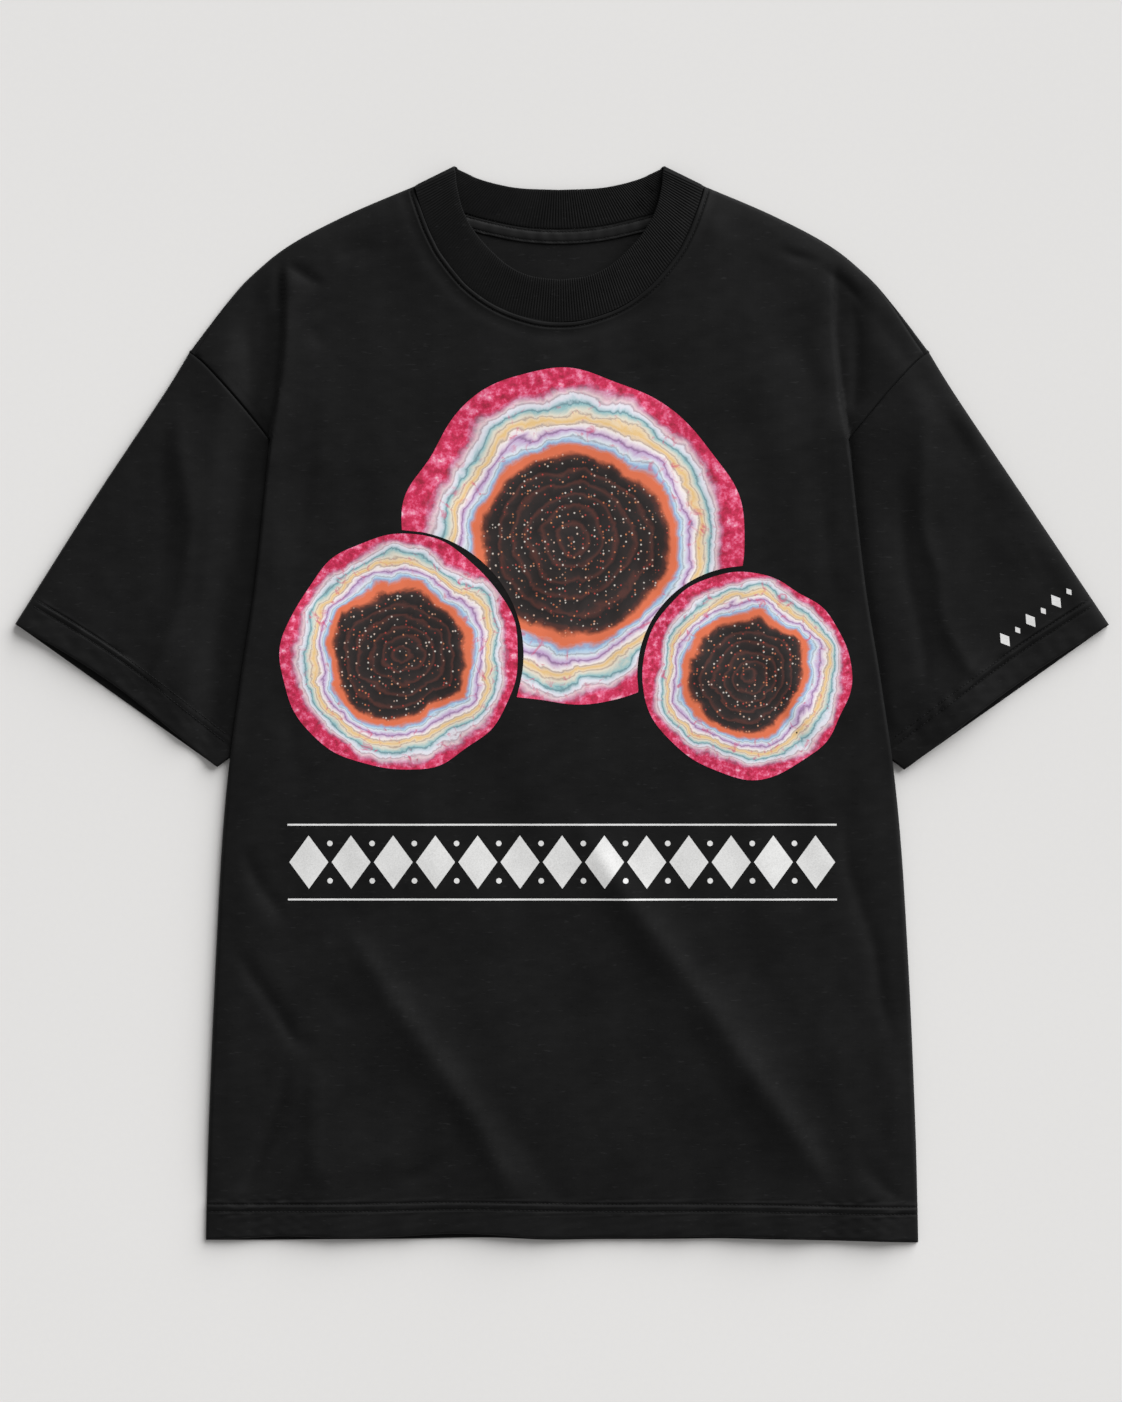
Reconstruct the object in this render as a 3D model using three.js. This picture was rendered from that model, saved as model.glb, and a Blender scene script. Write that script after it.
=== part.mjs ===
// A boxy, drop-shoulder T-shirt in heavy jersey, laid flat with its front up.
//
// Millimetres. +Z is up off the surface that the shirt lies on, +Y points to the collar and +X
// to the right as the front is seen from above. The origin is the middle of the footprint.
// Outlines are given for the half with x >= 0 and mirrored. Sewn edges are kept SEAM_GAP apart.
import * as THREE from "three";

// ---------------------------------------------------------------- driving dimensions
const CLOTH = 1.0; // one layer of jersey
const HEM_TURN = 0.7; // the layer turned in along a hem
const HEM_DEPTH = 25;
const SEAM_GAP = 0.3;
const PLAN_GAP = 0.4; // the same gap, where chords of two curves face each other

const HEM_HALF_WIDTH = 267;
const HEM_Y = -403;
const FRONT_HEM_RISE = 1.5; // the front hem stops this far short of the back one
const BODY_UNDER = 7.6; // inner face of the front, in the middle of the body
const SLEEVE_UNDER = 7.4; // inner face of a sleeve's upper layer
const EDGE_ROLL = 32; // width over which a folded edge comes down

const RIB_THICKNESS = 2.0; // two layers of rib knit
const RIB_FRONT_MID = 8.4; // middle of the rib's thickness at the front of the neck
const RIB_FOLD_MID = 4.4; // the same where the front half folds under
const TAPE_THICKNESS = 0.7;
const TAPE_WIDTH = 10.5;
const CUFF_SLACK = 5; // how far the upper layer of a cuff draws back from the lower

// ---------------------------------------------------------------- outlines, right half
const SIDE = [
  [HEM_HALF_WIDTH, HEM_Y],
  [265, -318],
  [259.5, -190],
  [252.4, -79],
  [240, 16],
  [228.8, 88],
  [219.2, 175],
];
const ARMHOLE_FOOT = [217, 199]; // where the armhole seam dives under the folded side
const ARMHOLE = [ARMHOLE_FOOT, [241.5, 229], [264.8, 254.6], [276.8, 264.4]];
const SHOULDER = [
  [276.8, 264.4],
  [250, 299.6],
  [230, 322],
  [201.8, 344.6],
  [158.6, 367],
  [111, 387.6],
];
const FRONT_NECK = [
  [111, 387.6],
  [103.2, 366.4],
  [95.6, 346.9],
  [83.4, 328.1],
  [66.2, 311.2],
  [45.4, 297],
  [24.4, 288],
  [0, 283.9],
];
const BACK_NECK = [
  [111, 387.6],
  [89, 375],
  [70.5, 367.4],
  [40.5, 360.2],
  [0, 355.4],
];
const RIB_FRONT_OUTER = [
  [0, 284.3],
  [24.4, 288.4],
  [45.2, 297.4],
  [65.8, 311.6],
  [82.9, 328.5],
  [95, 347.2],
  [102.4, 367],
  [106.6, 386.2],
];
const RIB_FRONT_INNER = [
  [0, 317.9],
  [21, 320.6],
  [37.5, 328.1],
  [52.5, 341.3],
  [64, 355],
  [72, 370],
  [76, 386],
  [76.8, 400.5],
];
const RIB_BACK_OUTER = [
  [106.6, 386.2],
  [88, 376],
  [70.5, 367.9],
  [40.5, 360.7],
  [0, 355.9],
];
const RIB_BACK_INNER = [
  [76.8, 400.5],
  [65, 393.6],
  [50, 389],
  [28, 386.6],
  [0, 385.9],
];
const SLEEVE_TOP = [
  [277, 263.6],
  [297.7, 232.1],
  [349.9, 153.4],
  [409.6, 60],
];
const CUFF = [
  [409.6, 60],
  [257.1, -47.2],
];
const UNDERARM = [
  [195.7, -2.6],
  [257.1, -47.2],
];
// The end of the sleeve that is tucked in between the front and the back of the body.
const TUCKED_END = [
  [219.2, 175],
  [211, 145],
  [204, 92],
  [199, 40],
  [195.7, -2.6],
];

// Soft folds of the front, each a ridge from one point to another with its height and width.
const BODY_FOLDS = [
  { from: [-147, -169], to: [-20, -369], height: 2.6, width: 20 },
  { from: [40, -110], to: [222, -369], height: 2.8, width: 22 },
];
const SLEEVE_FOLD = { from: [284, 205], to: [298, 0], height: 1.8, width: 18 };

// ---------------------------------------------------------------- small helpers
const clamp = (value, low, high) => Math.min(high, Math.max(low, value));
const mix = (a, b, t) => a + (b - a) * t;

function smooth(t) {
  const c = clamp(t, 0, 1);
  return c * c * (3 - 2 * c);
}

// 0 at a folded edge, 1 from `width` inwards.
const rise = (distance, width) => Math.sin((Math.PI / 2) * clamp(distance / width, 0, 1));

const splineOf = (points) => new THREE.SplineCurve(points.map(([x, y]) => new THREE.Vector2(x, y)));

function pathOf(...parts) {
  const path = new THREE.CurvePath();
  for (const part of parts) {
    path.add(splineOf(part));
  }
  return path;
}

const mirrored = (point) => new THREE.Vector2(-point.x, point.y);

// Both halves of a symmetrical line as one spline, from x < 0 to x > 0.
function fullLine(half) {
  const right = [...half].sort((a, b) => a[0] - b[0]);
  const left = right.filter(([x]) => x > 0).map(([x, y]) => [-x, y]);
  return splineOf([...left.reverse(), ...right]);
}

// Fractions of a path's whole length at the given shares of each of its curves.
function pathStops(path, sharesPerCurve) {
  const ends = path.getCurveLengths();
  const whole = ends[ends.length - 1];
  const stops = [0];
  sharesPerCurve.forEach((shares, i) => {
    const from = i === 0 ? 0 : ends[i - 1];
    stops.push(...shares.map((share) => mix(from, ends[i], share) / whole));
  });
  return stops;
}

const evenShares = (count) => Array.from({ length: count }, (_, i) => (i + 1) / count);

// Rows of points between four border lines. `blend` says how early the end line takes over.
function coonsPatch({ start, end, left, right, across, along, blend }) {
  const bulge = (line, u) => line(u).clone().sub(line(0).clone().lerp(line(1), u));
  return along.map((v) =>
    across.map((u) =>
      left(v)
        .clone()
        .lerp(right(v), u)
        .addScaledVector(bulge(start, u), 1 - blend(v))
        .addScaledVector(bulge(end, u), blend(v)),
    ),
  );
}

function foldHeight(folds, x, y) {
  let height = 0;
  for (const fold of folds) {
    const axis = new THREE.Vector2(fold.to[0] - fold.from[0], fold.to[1] - fold.from[1]);
    const length = axis.length();
    axis.normalize();
    const dx = x - fold.from[0];
    const dy = y - fold.from[1];
    const along = (dx * axis.x + dy * axis.y) / length;
    const aside = (dx * axis.y - dy * axis.x) / fold.width;
    const fade = smooth(along / 0.3 + 0.3) * smooth((1 - along) / 0.3 + 0.6);
    height += fold.height * fade * Math.exp(-aside * aside);
  }
  return height;
}

// ---------------------------------------------------------------- closed meshes from grids
function turnedOutward(positions, triangles) {
  const at = (i) => new THREE.Vector3().fromArray(positions, 3 * i);
  let volume = 0;
  for (const [a, b, c] of triangles) {
    volume += at(a).dot(at(b).cross(at(c)));
  }
  return volume > 0 ? triangles : triangles.map(([a, b, c]) => [a, c, b]);
}

function geometryOf(positions, quads) {
  const triangles = quads.flatMap(([a, b, c, d]) => [
    [a, b, c],
    [a, c, d],
  ]);
  const geometry = new THREE.BufferGeometry();
  geometry.setAttribute("position", new THREE.Float32BufferAttribute(positions, 3));
  geometry.setIndex(turnedOutward(positions, triangles).flat());
  geometry.computeVertexNormals();
  return geometry;
}

// Two grids of the same size, face to face, joined along their borders. A grid whose columns
// close on themselves is a tube, which has a rim at its first and last row only.
function shellGeometry(outside, inside, isTube) {
  const rows = outside.length;
  const columns = outside[0].length;
  const positions = [...outside.flat(), ...inside.flat()].flatMap((p) => p.toArray());
  const outer = (r, c) => r * columns + (c % columns);
  const inner = (r, c) => rows * columns + outer(r, c);
  const spans = isTube ? columns : columns - 1;
  const quads = [];
  for (let r = 0; r < rows - 1; r++) {
    for (let c = 0; c < spans; c++) {
      quads.push([outer(r, c), outer(r, c + 1), outer(r + 1, c + 1), outer(r + 1, c)]);
      quads.push([inner(r, c), inner(r + 1, c), inner(r + 1, c + 1), inner(r, c + 1)]);
    }
  }
  for (let c = 0; c < spans; c++) {
    const last = rows - 1;
    quads.push([outer(0, c), inner(0, c), inner(0, c + 1), outer(0, c + 1)]);
    quads.push([outer(last, c), outer(last, c + 1), inner(last, c + 1), inner(last, c)]);
  }
  for (let r = 0; r < rows - 1 && !isTube; r++) {
    const last = columns - 1;
    quads.push([outer(r, 0), outer(r + 1, 0), inner(r + 1, 0), inner(r, 0)]);
    quads.push([outer(r, last), inner(r, last), inner(r + 1, last), outer(r + 1, last)]);
  }
  return geometryOf(positions, quads);
}

// Sections with the same number of corners, joined in a closed ring.
function ringGeometry(sections) {
  const corners = sections[0].length;
  const positions = sections.flat().flatMap((p) => p.toArray());
  const at = (s, c) => (s % sections.length) * corners + (c % corners);
  const quads = [];
  for (let s = 0; s < sections.length; s++) {
    for (let c = 0; c < corners; c++) {
      quads.push([at(s, c), at(s, c + 1), at(s + 1, c + 1), at(s + 1, c)]);
    }
  }
  return geometryOf(positions, quads);
}

// ---------------------------------------------------------------- the body's outline
const bodySide = pathOf(SIDE, [SIDE.at(-1), ARMHOLE_FOOT], ARMHOLE, SHOULDER);
const SIDE_LENGTH = bodySide.curves[0].getLength();
const ARMHOLE_SHARES = [0.3, 0.6, 0.8, 0.93, 1];
const TUCK_SHARES = [0.2, 0.42, 0.64, 0.82, 0.94, 1];
const HEM_SHARES = [HEM_DEPTH / SIDE_LENGTH, (HEM_DEPTH + 4) / SIDE_LENGTH];
const shoulderTip = new THREE.Vector2(...SHOULDER[0]);

const sideStops = (sideRows, shoulderRows) =>
  pathStops(bodySide, [
    [...HEM_SHARES, ...evenShares(sideRows).map((t) => mix(HEM_SHARES[1], 1, t))],
    [1],
    ARMHOLE_SHARES,
    evenShares(shoulderRows),
  ]);

// x of the side and armhole at a height y, for how far out a point of the sleeve lies.
const edgeSamples = [0, 1, 2].flatMap((i) => bodySide.curves[i].getPoints(40));
function bodyEdgeX(y) {
  const above = edgeSamples.findIndex((p) => p.y >= y);
  if (above < 0) {
    return edgeSamples.at(-1).x;
  }
  const high = edgeSamples[above];
  const low = edgeSamples[Math.max(0, above - 1)];
  const span = high.y - low.y;
  return span > 0 ? mix(low.x, high.x, (y - low.y) / span) : high.x;
}

// ---------------------------------------------------------------- sleeve heights
// The tucked end of a sleeve lies over the back panel, so its lower layer is lifted there.
function sleeveLift(x, y, fromTop) {
  const outBy = x - bodyEdgeX(y);
  const lifted = 1 - smooth((outBy - 20) / 25);
  return (CLOTH + SEAM_GAP) * lifted * smooth(fromTop / 30);
}

function sleeveUnder({ x, y, fromTop, fromUnderarm, turn }) {
  const outBy = x - bodyEdgeX(y);
  const closed = sleeveLift(x, y, fromTop) + CLOTH + turn + SEAM_GAP;
  const open = 0.25 + 0.75 * smooth(outBy / 50);
  const puff = rise(fromTop, EDGE_ROLL) * rise(fromUnderarm, EDGE_ROLL) * open;
  return mix(closed, SLEEVE_UNDER, puff) + foldHeight([SLEEVE_FOLD], x, y) * puff;
}

// ---------------------------------------------------------------- front and back panels
const isHemRow = (v) => v * bodySide.getLength() < HEM_DEPTH + 1;
const hemTurn = (v) => (isHemRow(v) ? HEM_TURN : 0);

// Height of the front's inner face along its own edge. Below the sleeves it closes on the back
// panel; higher up it lies over the tucked sleeve, and at the armhole it meets the sleeve.
function frontEdgeUnder(point, v) {
  const closed = CLOTH + SEAM_GAP + hemTurn(v);
  const [, tuckTop, armholeTop] = bodySide.getCurveLengths();
  const travelled = v * bodySide.getLength();
  const atArmhole = sleeveUnder({
    x: point.x,
    y: point.y,
    fromTop: point.distanceTo(shoulderTip),
    fromUnderarm: EDGE_ROLL,
    turn: 0,
  });
  if (travelled >= armholeTop - 1e-6) {
    return closed;
  }
  if (travelled >= tuckTop - 1e-6) {
    return atArmhole;
  }
  const overCuff = 3.4 * smooth((point.y + 85) / 38);
  const overSleeve = 1.6 * smooth((point.y + 60) / 35);
  return closed + overCuff + overSleeve;
}

function panelPatch(neck, across, along, hemY) {
  const neckLine = fullLine(neck);
  const hemLine = (u) => new THREE.Vector2(mix(-HEM_HALF_WIDTH, HEM_HALF_WIDTH, u), hemY);
  const right = (v) => {
    const point = bodySide.getPoint(v);
    point.y = Math.max(point.y, hemY);
    return point;
  };
  return coonsPatch({
    start: hemLine,
    end: (u) => neckLine.getPointAt(u),
    left: (v) => mirrored(right(v)),
    right,
    across,
    along,
    blend: (v) => v ** 1.5,
  });
}

// Column positions, close together near both side edges.
function edgeWeighted(inner, count) {
  const middle = Array.from({ length: count + 1 }, (_, i) => mix(inner.at(-1), 1 - inner.at(-1), i / count));
  return [...inner.slice(0, -1), ...middle, ...inner.slice(0, -1).reverse().map((u) => 1 - u)];
}

function frontPanel() {
  const along = sideStops(20, 9);
  const across = edgeWeighted([0, 0.012, 0.03, 0.055], 26);
  const patch = panelPatch(FRONT_NECK, across, along, HEM_Y + FRONT_HEM_RISE);
  const underside = patch.map((row, r) => {
    const v = along[r];
    const edgeUnder = frontEdgeUnder(row.at(-1), v);
    return row.map((point) => {
      const fromEdge = Math.min(point.distanceTo(row[0]), point.distanceTo(row.at(-1)));
      const lift = rise(fromEdge, EDGE_ROLL);
      const fold = foldHeight(BODY_FOLDS, point.x, point.y) * rise(fromEdge, 2 * EDGE_ROLL);
      return mix(edgeUnder, BODY_UNDER - hemTurn(v), lift) + fold;
    });
  });
  const grid = (height) =>
    patch.map((row, r) => row.map((p, c) => new THREE.Vector3(p.x, p.y, height(r, c))));
  const outside = grid((r, c) => underside[r][c] + CLOTH + hemTurn(along[r]));
  return shellGeometry(outside, grid((r, c) => underside[r][c]), false);
}

function backPanel() {
  const along = sideStops(20, 9);
  const across = edgeWeighted([0, 0.055], 12);
  const patch = panelPatch(BACK_NECK, across, along, HEM_Y);
  const outside = patch.map((row) => row.map((p) => new THREE.Vector3(p.x, p.y, 0)));
  const inside = patch.map((row, r) =>
    row.map((p) => new THREE.Vector3(p.x, p.y, CLOTH + hemTurn(along[r]))),
  );
  return shellGeometry(inside, outside, false);
}

// ---------------------------------------------------------------- sleeves
// A flattened tube from the armhole to the cuff, its lower layer on the surface. Each row of the
// tube runs over the upper layer and back along the lower one.
function sleeve(side) {
  const armhole = ARMHOLE.map((p) => [p[0] + PLAN_GAP, p[1] - PLAN_GAP]).reverse();
  armhole[0] = SLEEVE_TOP[0];
  const tuckTop = [TUCKED_END[0][0] + PLAN_GAP, TUCKED_END[0][1]];
  const innerEnd = pathOf(armhole, [armhole.at(-1), tuckTop], [tuckTop, ...TUCKED_END.slice(1)]);
  const fromTip = ARMHOLE_SHARES.slice(0, -1).map((share) => 1 - share);
  const across = pathStops(innerEnd, [[...fromTip.reverse(), 1], [1], TUCK_SHARES]);

  const top = splineOf(SLEEVE_TOP);
  const underarm = splineOf(UNDERARM);
  const cuff = splineOf(CUFF);
  const bandTop = top.getPointAt(1 - HEM_DEPTH / top.getLength());
  const bandFoot = underarm.getPointAt(1 - HEM_DEPTH / underarm.getLength());
  const upTo = (curve, end) => (v) => curve.getPointAt(v * (1 - HEM_DEPTH / end));
  const along = [0, 0.04, 0.1, 0.18, 0.28, 0.4, 0.52, 0.64, 0.76, 0.88, 0.97, 1];
  const body = coonsPatch({
    start: (u) => innerEnd.getPoint(u),
    end: (u) => bandTop.clone().lerp(bandFoot, u),
    left: upTo(top, top.getLength()),
    right: upTo(underarm, underarm.getLength()),
    across,
    along,
    blend: (v) => v,
  });
  const plan = [...body, across.map((u) => cuff.getPointAt(u))];
  const outside = [];
  const inside = [];
  plan.forEach((row, r) => {
    const isCuff = r >= plan.length - 2;
    const isEnd = r === plan.length - 1;
    const turn = isCuff ? HEM_TURN : 0;
    const upper = [];
    const upperInner = [];
    const lower = [];
    const lowerInner = [];
    row.forEach((point, c) => {
      const fromTop = point.distanceTo(row[0]);
      const fromUnderarm = point.distanceTo(row.at(-1));
      const lift = sleeveLift(point.x, point.y, fromTop);
      const under = sleeveUnder({ x: point.x, y: point.y, fromTop, fromUnderarm, turn });
      const isBorder = c === 0 || c === row.length - 1;
      if (isBorder) {
        const neighbour = row[c === 0 ? 1 : c - 1];
        const inset = point.clone().lerp(neighbour, (CLOTH + 0.3) / point.distanceTo(neighbour));
        const middle = (lift + under + CLOTH + turn) / 2;
        upper.push(new THREE.Vector3(point.x, point.y, middle));
        upperInner.push(new THREE.Vector3(inset.x, inset.y, middle));
        return;
      }
      const slack = isEnd ? CUFF_SLACK * Math.sin(Math.PI * across[c]) : 0;
      const pulled = point.clone().lerp(plan[r - 1]?.[c] ?? point, slack / HEM_DEPTH);
      upper.push(new THREE.Vector3(pulled.x, pulled.y, under + CLOTH + turn));
      upperInner.push(new THREE.Vector3(pulled.x, pulled.y, under));
      lower.unshift(new THREE.Vector3(point.x, point.y, lift));
      lowerInner.unshift(new THREE.Vector3(point.x, point.y, lift + CLOTH + turn));
    });
    outside.push([...upper, ...lower]);
    inside.push([...upperInner, ...lowerInner]);
  });
  for (const point of [...outside, ...inside].flat()) {
    point.x *= side;
  }
  return shellGeometry(outside, inside, true);
}

// ---------------------------------------------------------------- neck rib and tape
// The rib is a band round the neck. Its front half lies on top, folds under at each shoulder and
// comes back along the surface, so a section of it is a strip from its inner to its outer edge.
function neckRib() {
  const frontInner = splineOf(RIB_FRONT_INNER);
  const frontOuter = splineOf(RIB_FRONT_OUTER);
  const backInner = splineOf(RIB_BACK_INNER);
  const backOuter = splineOf(RIB_BACK_OUTER);
  const backMid = RIB_THICKNESS / 2;
  const foldRadius = (RIB_FOLD_MID - backMid) / 2;
  const foldLine = frontInner.getPointAt(1).sub(frontOuter.getPointAt(1)).normalize();
  const outward = new THREE.Vector2(foldLine.y, -foldLine.x);
  const strips = [];
  const addStrip = (inner, outer, z) =>
    strips.push({
      inner: new THREE.Vector3(inner.x, inner.y, z),
      outer: new THREE.Vector3(outer.x, outer.y, z),
    });

  const frontCount = 16;
  for (let i = 0; i < frontCount; i++) {
    const t = i / frontCount;
    const inner = frontInner.getPointAt(t);
    const fromFold = inner.distanceTo(frontInner.getPointAt(1));
    const z = mix(RIB_FOLD_MID, RIB_FRONT_MID, rise(fromFold, 2 * EDGE_ROLL));
    addStrip(inner, frontOuter.getPointAt(t), z);
  }
  const foldCount = 6;
  for (let i = 0; i <= foldCount; i++) {
    const angle = (Math.PI * i) / foldCount;
    const shift = outward.clone().multiplyScalar(foldRadius * Math.sin(angle));
    const z = backMid + foldRadius * (1 + Math.cos(angle));
    addStrip(frontInner.getPointAt(1).add(shift), frontOuter.getPointAt(1).add(shift), z);
  }
  const backCount = 9;
  for (let i = 1; i <= backCount; i++) {
    addStrip(backInner.getPointAt(i / backCount), backOuter.getPointAt(i / backCount), backMid);
  }
  const otherHalf = strips
    .slice(1, -1)
    .reverse()
    .map(({ inner, outer }) => ({
      inner: inner.clone().setX(-inner.x),
      outer: outer.clone().setX(-outer.x),
    }));
  const ring = [...strips, ...otherHalf];
  const middle = ({ inner, outer }) => inner.clone().add(outer).multiplyScalar(0.5);
  const sections = ring.map((strip, i) => {
    const before = middle(ring[(i + ring.length - 1) % ring.length]);
    const after = middle(ring[(i + 1) % ring.length]);
    const across = strip.outer.clone().sub(strip.inner);
    const normal = after.sub(before).cross(across).normalize();
    normal.multiplyScalar(RIB_THICKNESS / 2);
    return [
      strip.inner.clone().add(normal),
      strip.outer.clone().add(normal),
      strip.outer.clone().sub(normal),
      strip.inner.clone().sub(normal),
    ];
  });
  return ringGeometry(sections);
}

// The tape over the seam inside the back of the neck, from shoulder to shoulder.
function neckTape() {
  const seam = fullLine(BACK_NECK);
  const end = 18 / seam.getLength();
  const floor = CLOTH + SEAM_GAP;
  const count = 28;
  const grid = (z) =>
    [TAPE_WIDTH, 0].map((down) =>
      Array.from({ length: count + 1 }, (_, i) => {
        const t = mix(end, 1 - end, i / count);
        const point = seam.getPointAt(t);
        const tangent = seam.getTangentAt(t);
        return new THREE.Vector3(point.x + tangent.y * down, point.y - tangent.x * down, z);
      }),
    );
  return shellGeometry(grid(floor + TAPE_THICKNESS), grid(floor), false);
}

// ---------------------------------------------------------------- the shirt
const JERSEY = { color: 0x1b1b1d, roughness: 0.92, metalness: 0 };
const RIB = { color: 0x18181a, roughness: 0.95, metalness: 0 };
const TAPE = { color: 0x151517, roughness: 0.9, metalness: 0 };

function named(name, geometry, finish) {
  const mesh = new THREE.Mesh(geometry, new THREE.MeshStandardMaterial(finish));
  mesh.name = name;
  return mesh;
}

const shirt = new THREE.Group();
shirt.name = "t_shirt";
shirt.add(
  named("front_panel", frontPanel(), JERSEY),
  named("back_panel", backPanel(), JERSEY),
  named("right_sleeve", sleeve(-1), JERSEY),
  named("left_sleeve", sleeve(1), JERSEY),
  named("neck_rib", neckRib(), RIB),
  named("neck_tape", neckTape(), TAPE),
);

export default shirt;
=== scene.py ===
import math

import bmesh
import bpy
import numpy as np
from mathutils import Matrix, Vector
from mathutils.bvhtree import BVHTree
from mathutils.geometry import delaunay_2d_cdt


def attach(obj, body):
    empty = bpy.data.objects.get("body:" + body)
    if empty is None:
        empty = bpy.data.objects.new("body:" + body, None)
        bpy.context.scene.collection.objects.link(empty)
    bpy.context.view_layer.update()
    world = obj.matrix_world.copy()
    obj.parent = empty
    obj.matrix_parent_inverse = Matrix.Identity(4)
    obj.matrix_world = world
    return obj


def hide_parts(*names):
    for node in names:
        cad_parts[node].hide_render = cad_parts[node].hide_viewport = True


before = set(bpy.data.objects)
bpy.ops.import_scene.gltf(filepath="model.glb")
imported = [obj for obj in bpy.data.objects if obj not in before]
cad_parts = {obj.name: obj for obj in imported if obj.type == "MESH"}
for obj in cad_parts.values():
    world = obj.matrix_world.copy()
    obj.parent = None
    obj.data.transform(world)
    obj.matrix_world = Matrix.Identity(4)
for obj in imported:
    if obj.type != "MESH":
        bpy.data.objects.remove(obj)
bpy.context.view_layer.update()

# A black drop-shoulder T-shirt in heavy jersey, laid flat with its front up. It has a rib collar,
# twin-needle hems, a taped back neck and an abstract print. Shapes are worked out in millimetres
# in the CAD model's frame and turned into metres as each mesh is made. The shirt's sides are named
# as the wearer's, so its right sleeve lies at x below 0; the print's are named as they are seen.

METRE = 0.001

# ---------------------------------------------------------------- sizes, mm
CLOTH = 1.0
HEM_TURN = 0.7
HEM_STITCHES = (20.9, 26.4)  # rows of the twin needle, up from the edge
CUFF_STITCHES = (18.8, 24.0)
EDGE_ROUND = 2.6  # width over which the front edge of a hem or cuff rounds down
FOLD_RADIUS = 1.9  # outside radius of cloth folded on itself
EDGE_ROLL = 32  # width over which cloth rises from a folded edge to its full height
BODY_TOP = 9.4
LOW_TOP = 7.9  # the same below the sleeves
HEM_TOP = 4.9  # where the front's hem lies on the back's
PRESSED = 2.35  # two layers of cloth lying flat on each other
SLEEVE_TOP_HEIGHT = 8.6
HEM_HALF_WIDTH = 267
HEM_Y = -400.8
RIB_HALF = 1.0
RIB_FRONT_MID = 8.2
RIB_FOLD_MID = 6.8
RIB_TILT = 2.2  # the folded edge stands this much higher than the sewn one
RIB_RISE = 64  # from the fold at the shoulder to the band's full height on the front
FRONT_TILT_RUN, BACK_TILT_RUN = 30, 46  # from the fold to the full tilt
RIB_PITCH = 1.95
RIB_STATIONS = 6  # sections to each rib
RIB_SECTION = 30  # width that the band's section is drawn at
RIB_GROOVE = 0.6
TAPE_WIDTH = 11.2
TAPE_STITCHES = (2.1, 9.2)
NECK_STITCHES = 3.7  # from the neck's seam
# The two sleeves differ; -1 is the right one and 1 the left one.
CUFF_SLACK = {-1: 5.5, 1: 3.4}  # how far the upper cuff draws back at most
CUFF_RELIEF = {-1: 0.8, 1: 1.9}  # how strongly the cuff's seam shows
SLEEVE_SWELL = {-1: ((312, -6), -1.6, 36), 1: ((303, -9), 5.6, 31)}  # a swelling: place, height, width
ARMHOLE_OUTSET = 0.12  # keeps the sleeve's sewn edge clear of the body's
LAYER_GAP = 0.04  # least height from the middle of two layers to either

# ---------------------------------------------------------------- outlines where x is above 0, mm
SIDE = [(267, -400.8), (265, -318), (259.5, -190), (252.4, -79), (240, 16), (228.8, 88), (219.2, 175)]
ARMHOLE_FOOT = (217, 199)
ARMHOLE = [ARMHOLE_FOOT, (241.5, 229), (264.8, 254.6), (276.8, 264.4)]
SHOULDER = [(276.8, 264.4), (250, 299.6), (230, 322), (201.8, 344.6), (158.6, 367.3), (108.6, 388.6)]
NECK_SEAM = [
    (108.3, 388.3), (106.9, 381.8), (103.2, 370.5), (99, 359), (93.8, 347.6),
    (87, 335.6), (69.3, 314.1), (46.7, 298), (20.7, 288.4), (0, 286.1),
]
BACK_NECK = [(108.3, 388.3), (89, 376.2), (70.5, 367.8), (40.5, 360.3), (20, 357.1), (0, 356.2)]
RIB_SEAM_GAP = 0.3
RIB_FOLD_BACK = 3.4  # how far short of the shoulder's corner the band folds over
RIB_FRONT_INNER = [
    (0, 317.9), (21, 320.6), (37.5, 328.1), (52.5, 341.3),
    (64, 355), (72, 370), (76.4, 387), (77.6, 399),
]
RIB_BACK_INNER = [(75.8, 401.2), (68.3, 397.7), (60.8, 394.2), (45.8, 389.8), (28, 386.8), (0, 385.7)]
SLEEVE_FOLD_LINE = [(297, 231.7), (349.4, 153.2)]  # from the shoulder's tip to the cuff
RIGHT_CUFF = [(408.5, 60.4), (257.6, -46.9)]
LEFT_CUFF = [(411.4, 59.8), (257.1, -48.9)]
UNDERARM_START = (195.7, -2.6)
TUCKED_END = [(219.4, 175), (211, 145), (204, 92), (199, 40), (195.7, -2.6)]
ALONG_ARMHOLE = np.array([0.675, 0.738])
UNDER_BODY = np.array([-0.738, 0.675])
# Where the folded side of the body runs on above the armhole as a soft step.
SHOULDER_CREASE = [(217.6, 196), (213, 220), (209, 250), (206.3, 283), (206.5, 334)]


# ---------------------------------------------------------------- curves
def smooth(t):
    t = np.clip(t, 0, 1)
    return t * t * (3 - 2 * t)


def rise(distance, width):
    """0 at a folded edge, 1 from `width` inwards."""
    return np.sin(np.pi / 2 * np.clip(distance / width, 0, 1))


def quarter(distance, radius):
    """The height of a quarter circle, 0 at the edge and 1 from `radius` inwards."""
    t = np.clip(distance / radius, 0, 1)
    return np.sqrt(np.clip(1 - (1 - t) ** 2, 0, 1))


def bell(distance, width):
    return np.exp(-((distance / width) ** 2))


def ridge(distance, width):
    """A fold's section: nearly sharp on top, with long soft flanks."""
    tip = 0.3 * width
    return np.exp(-(np.hypot(distance, tip) - tip) / (0.62 * width))


def mix(a, b, t):
    return a + (b - a) * t


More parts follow.
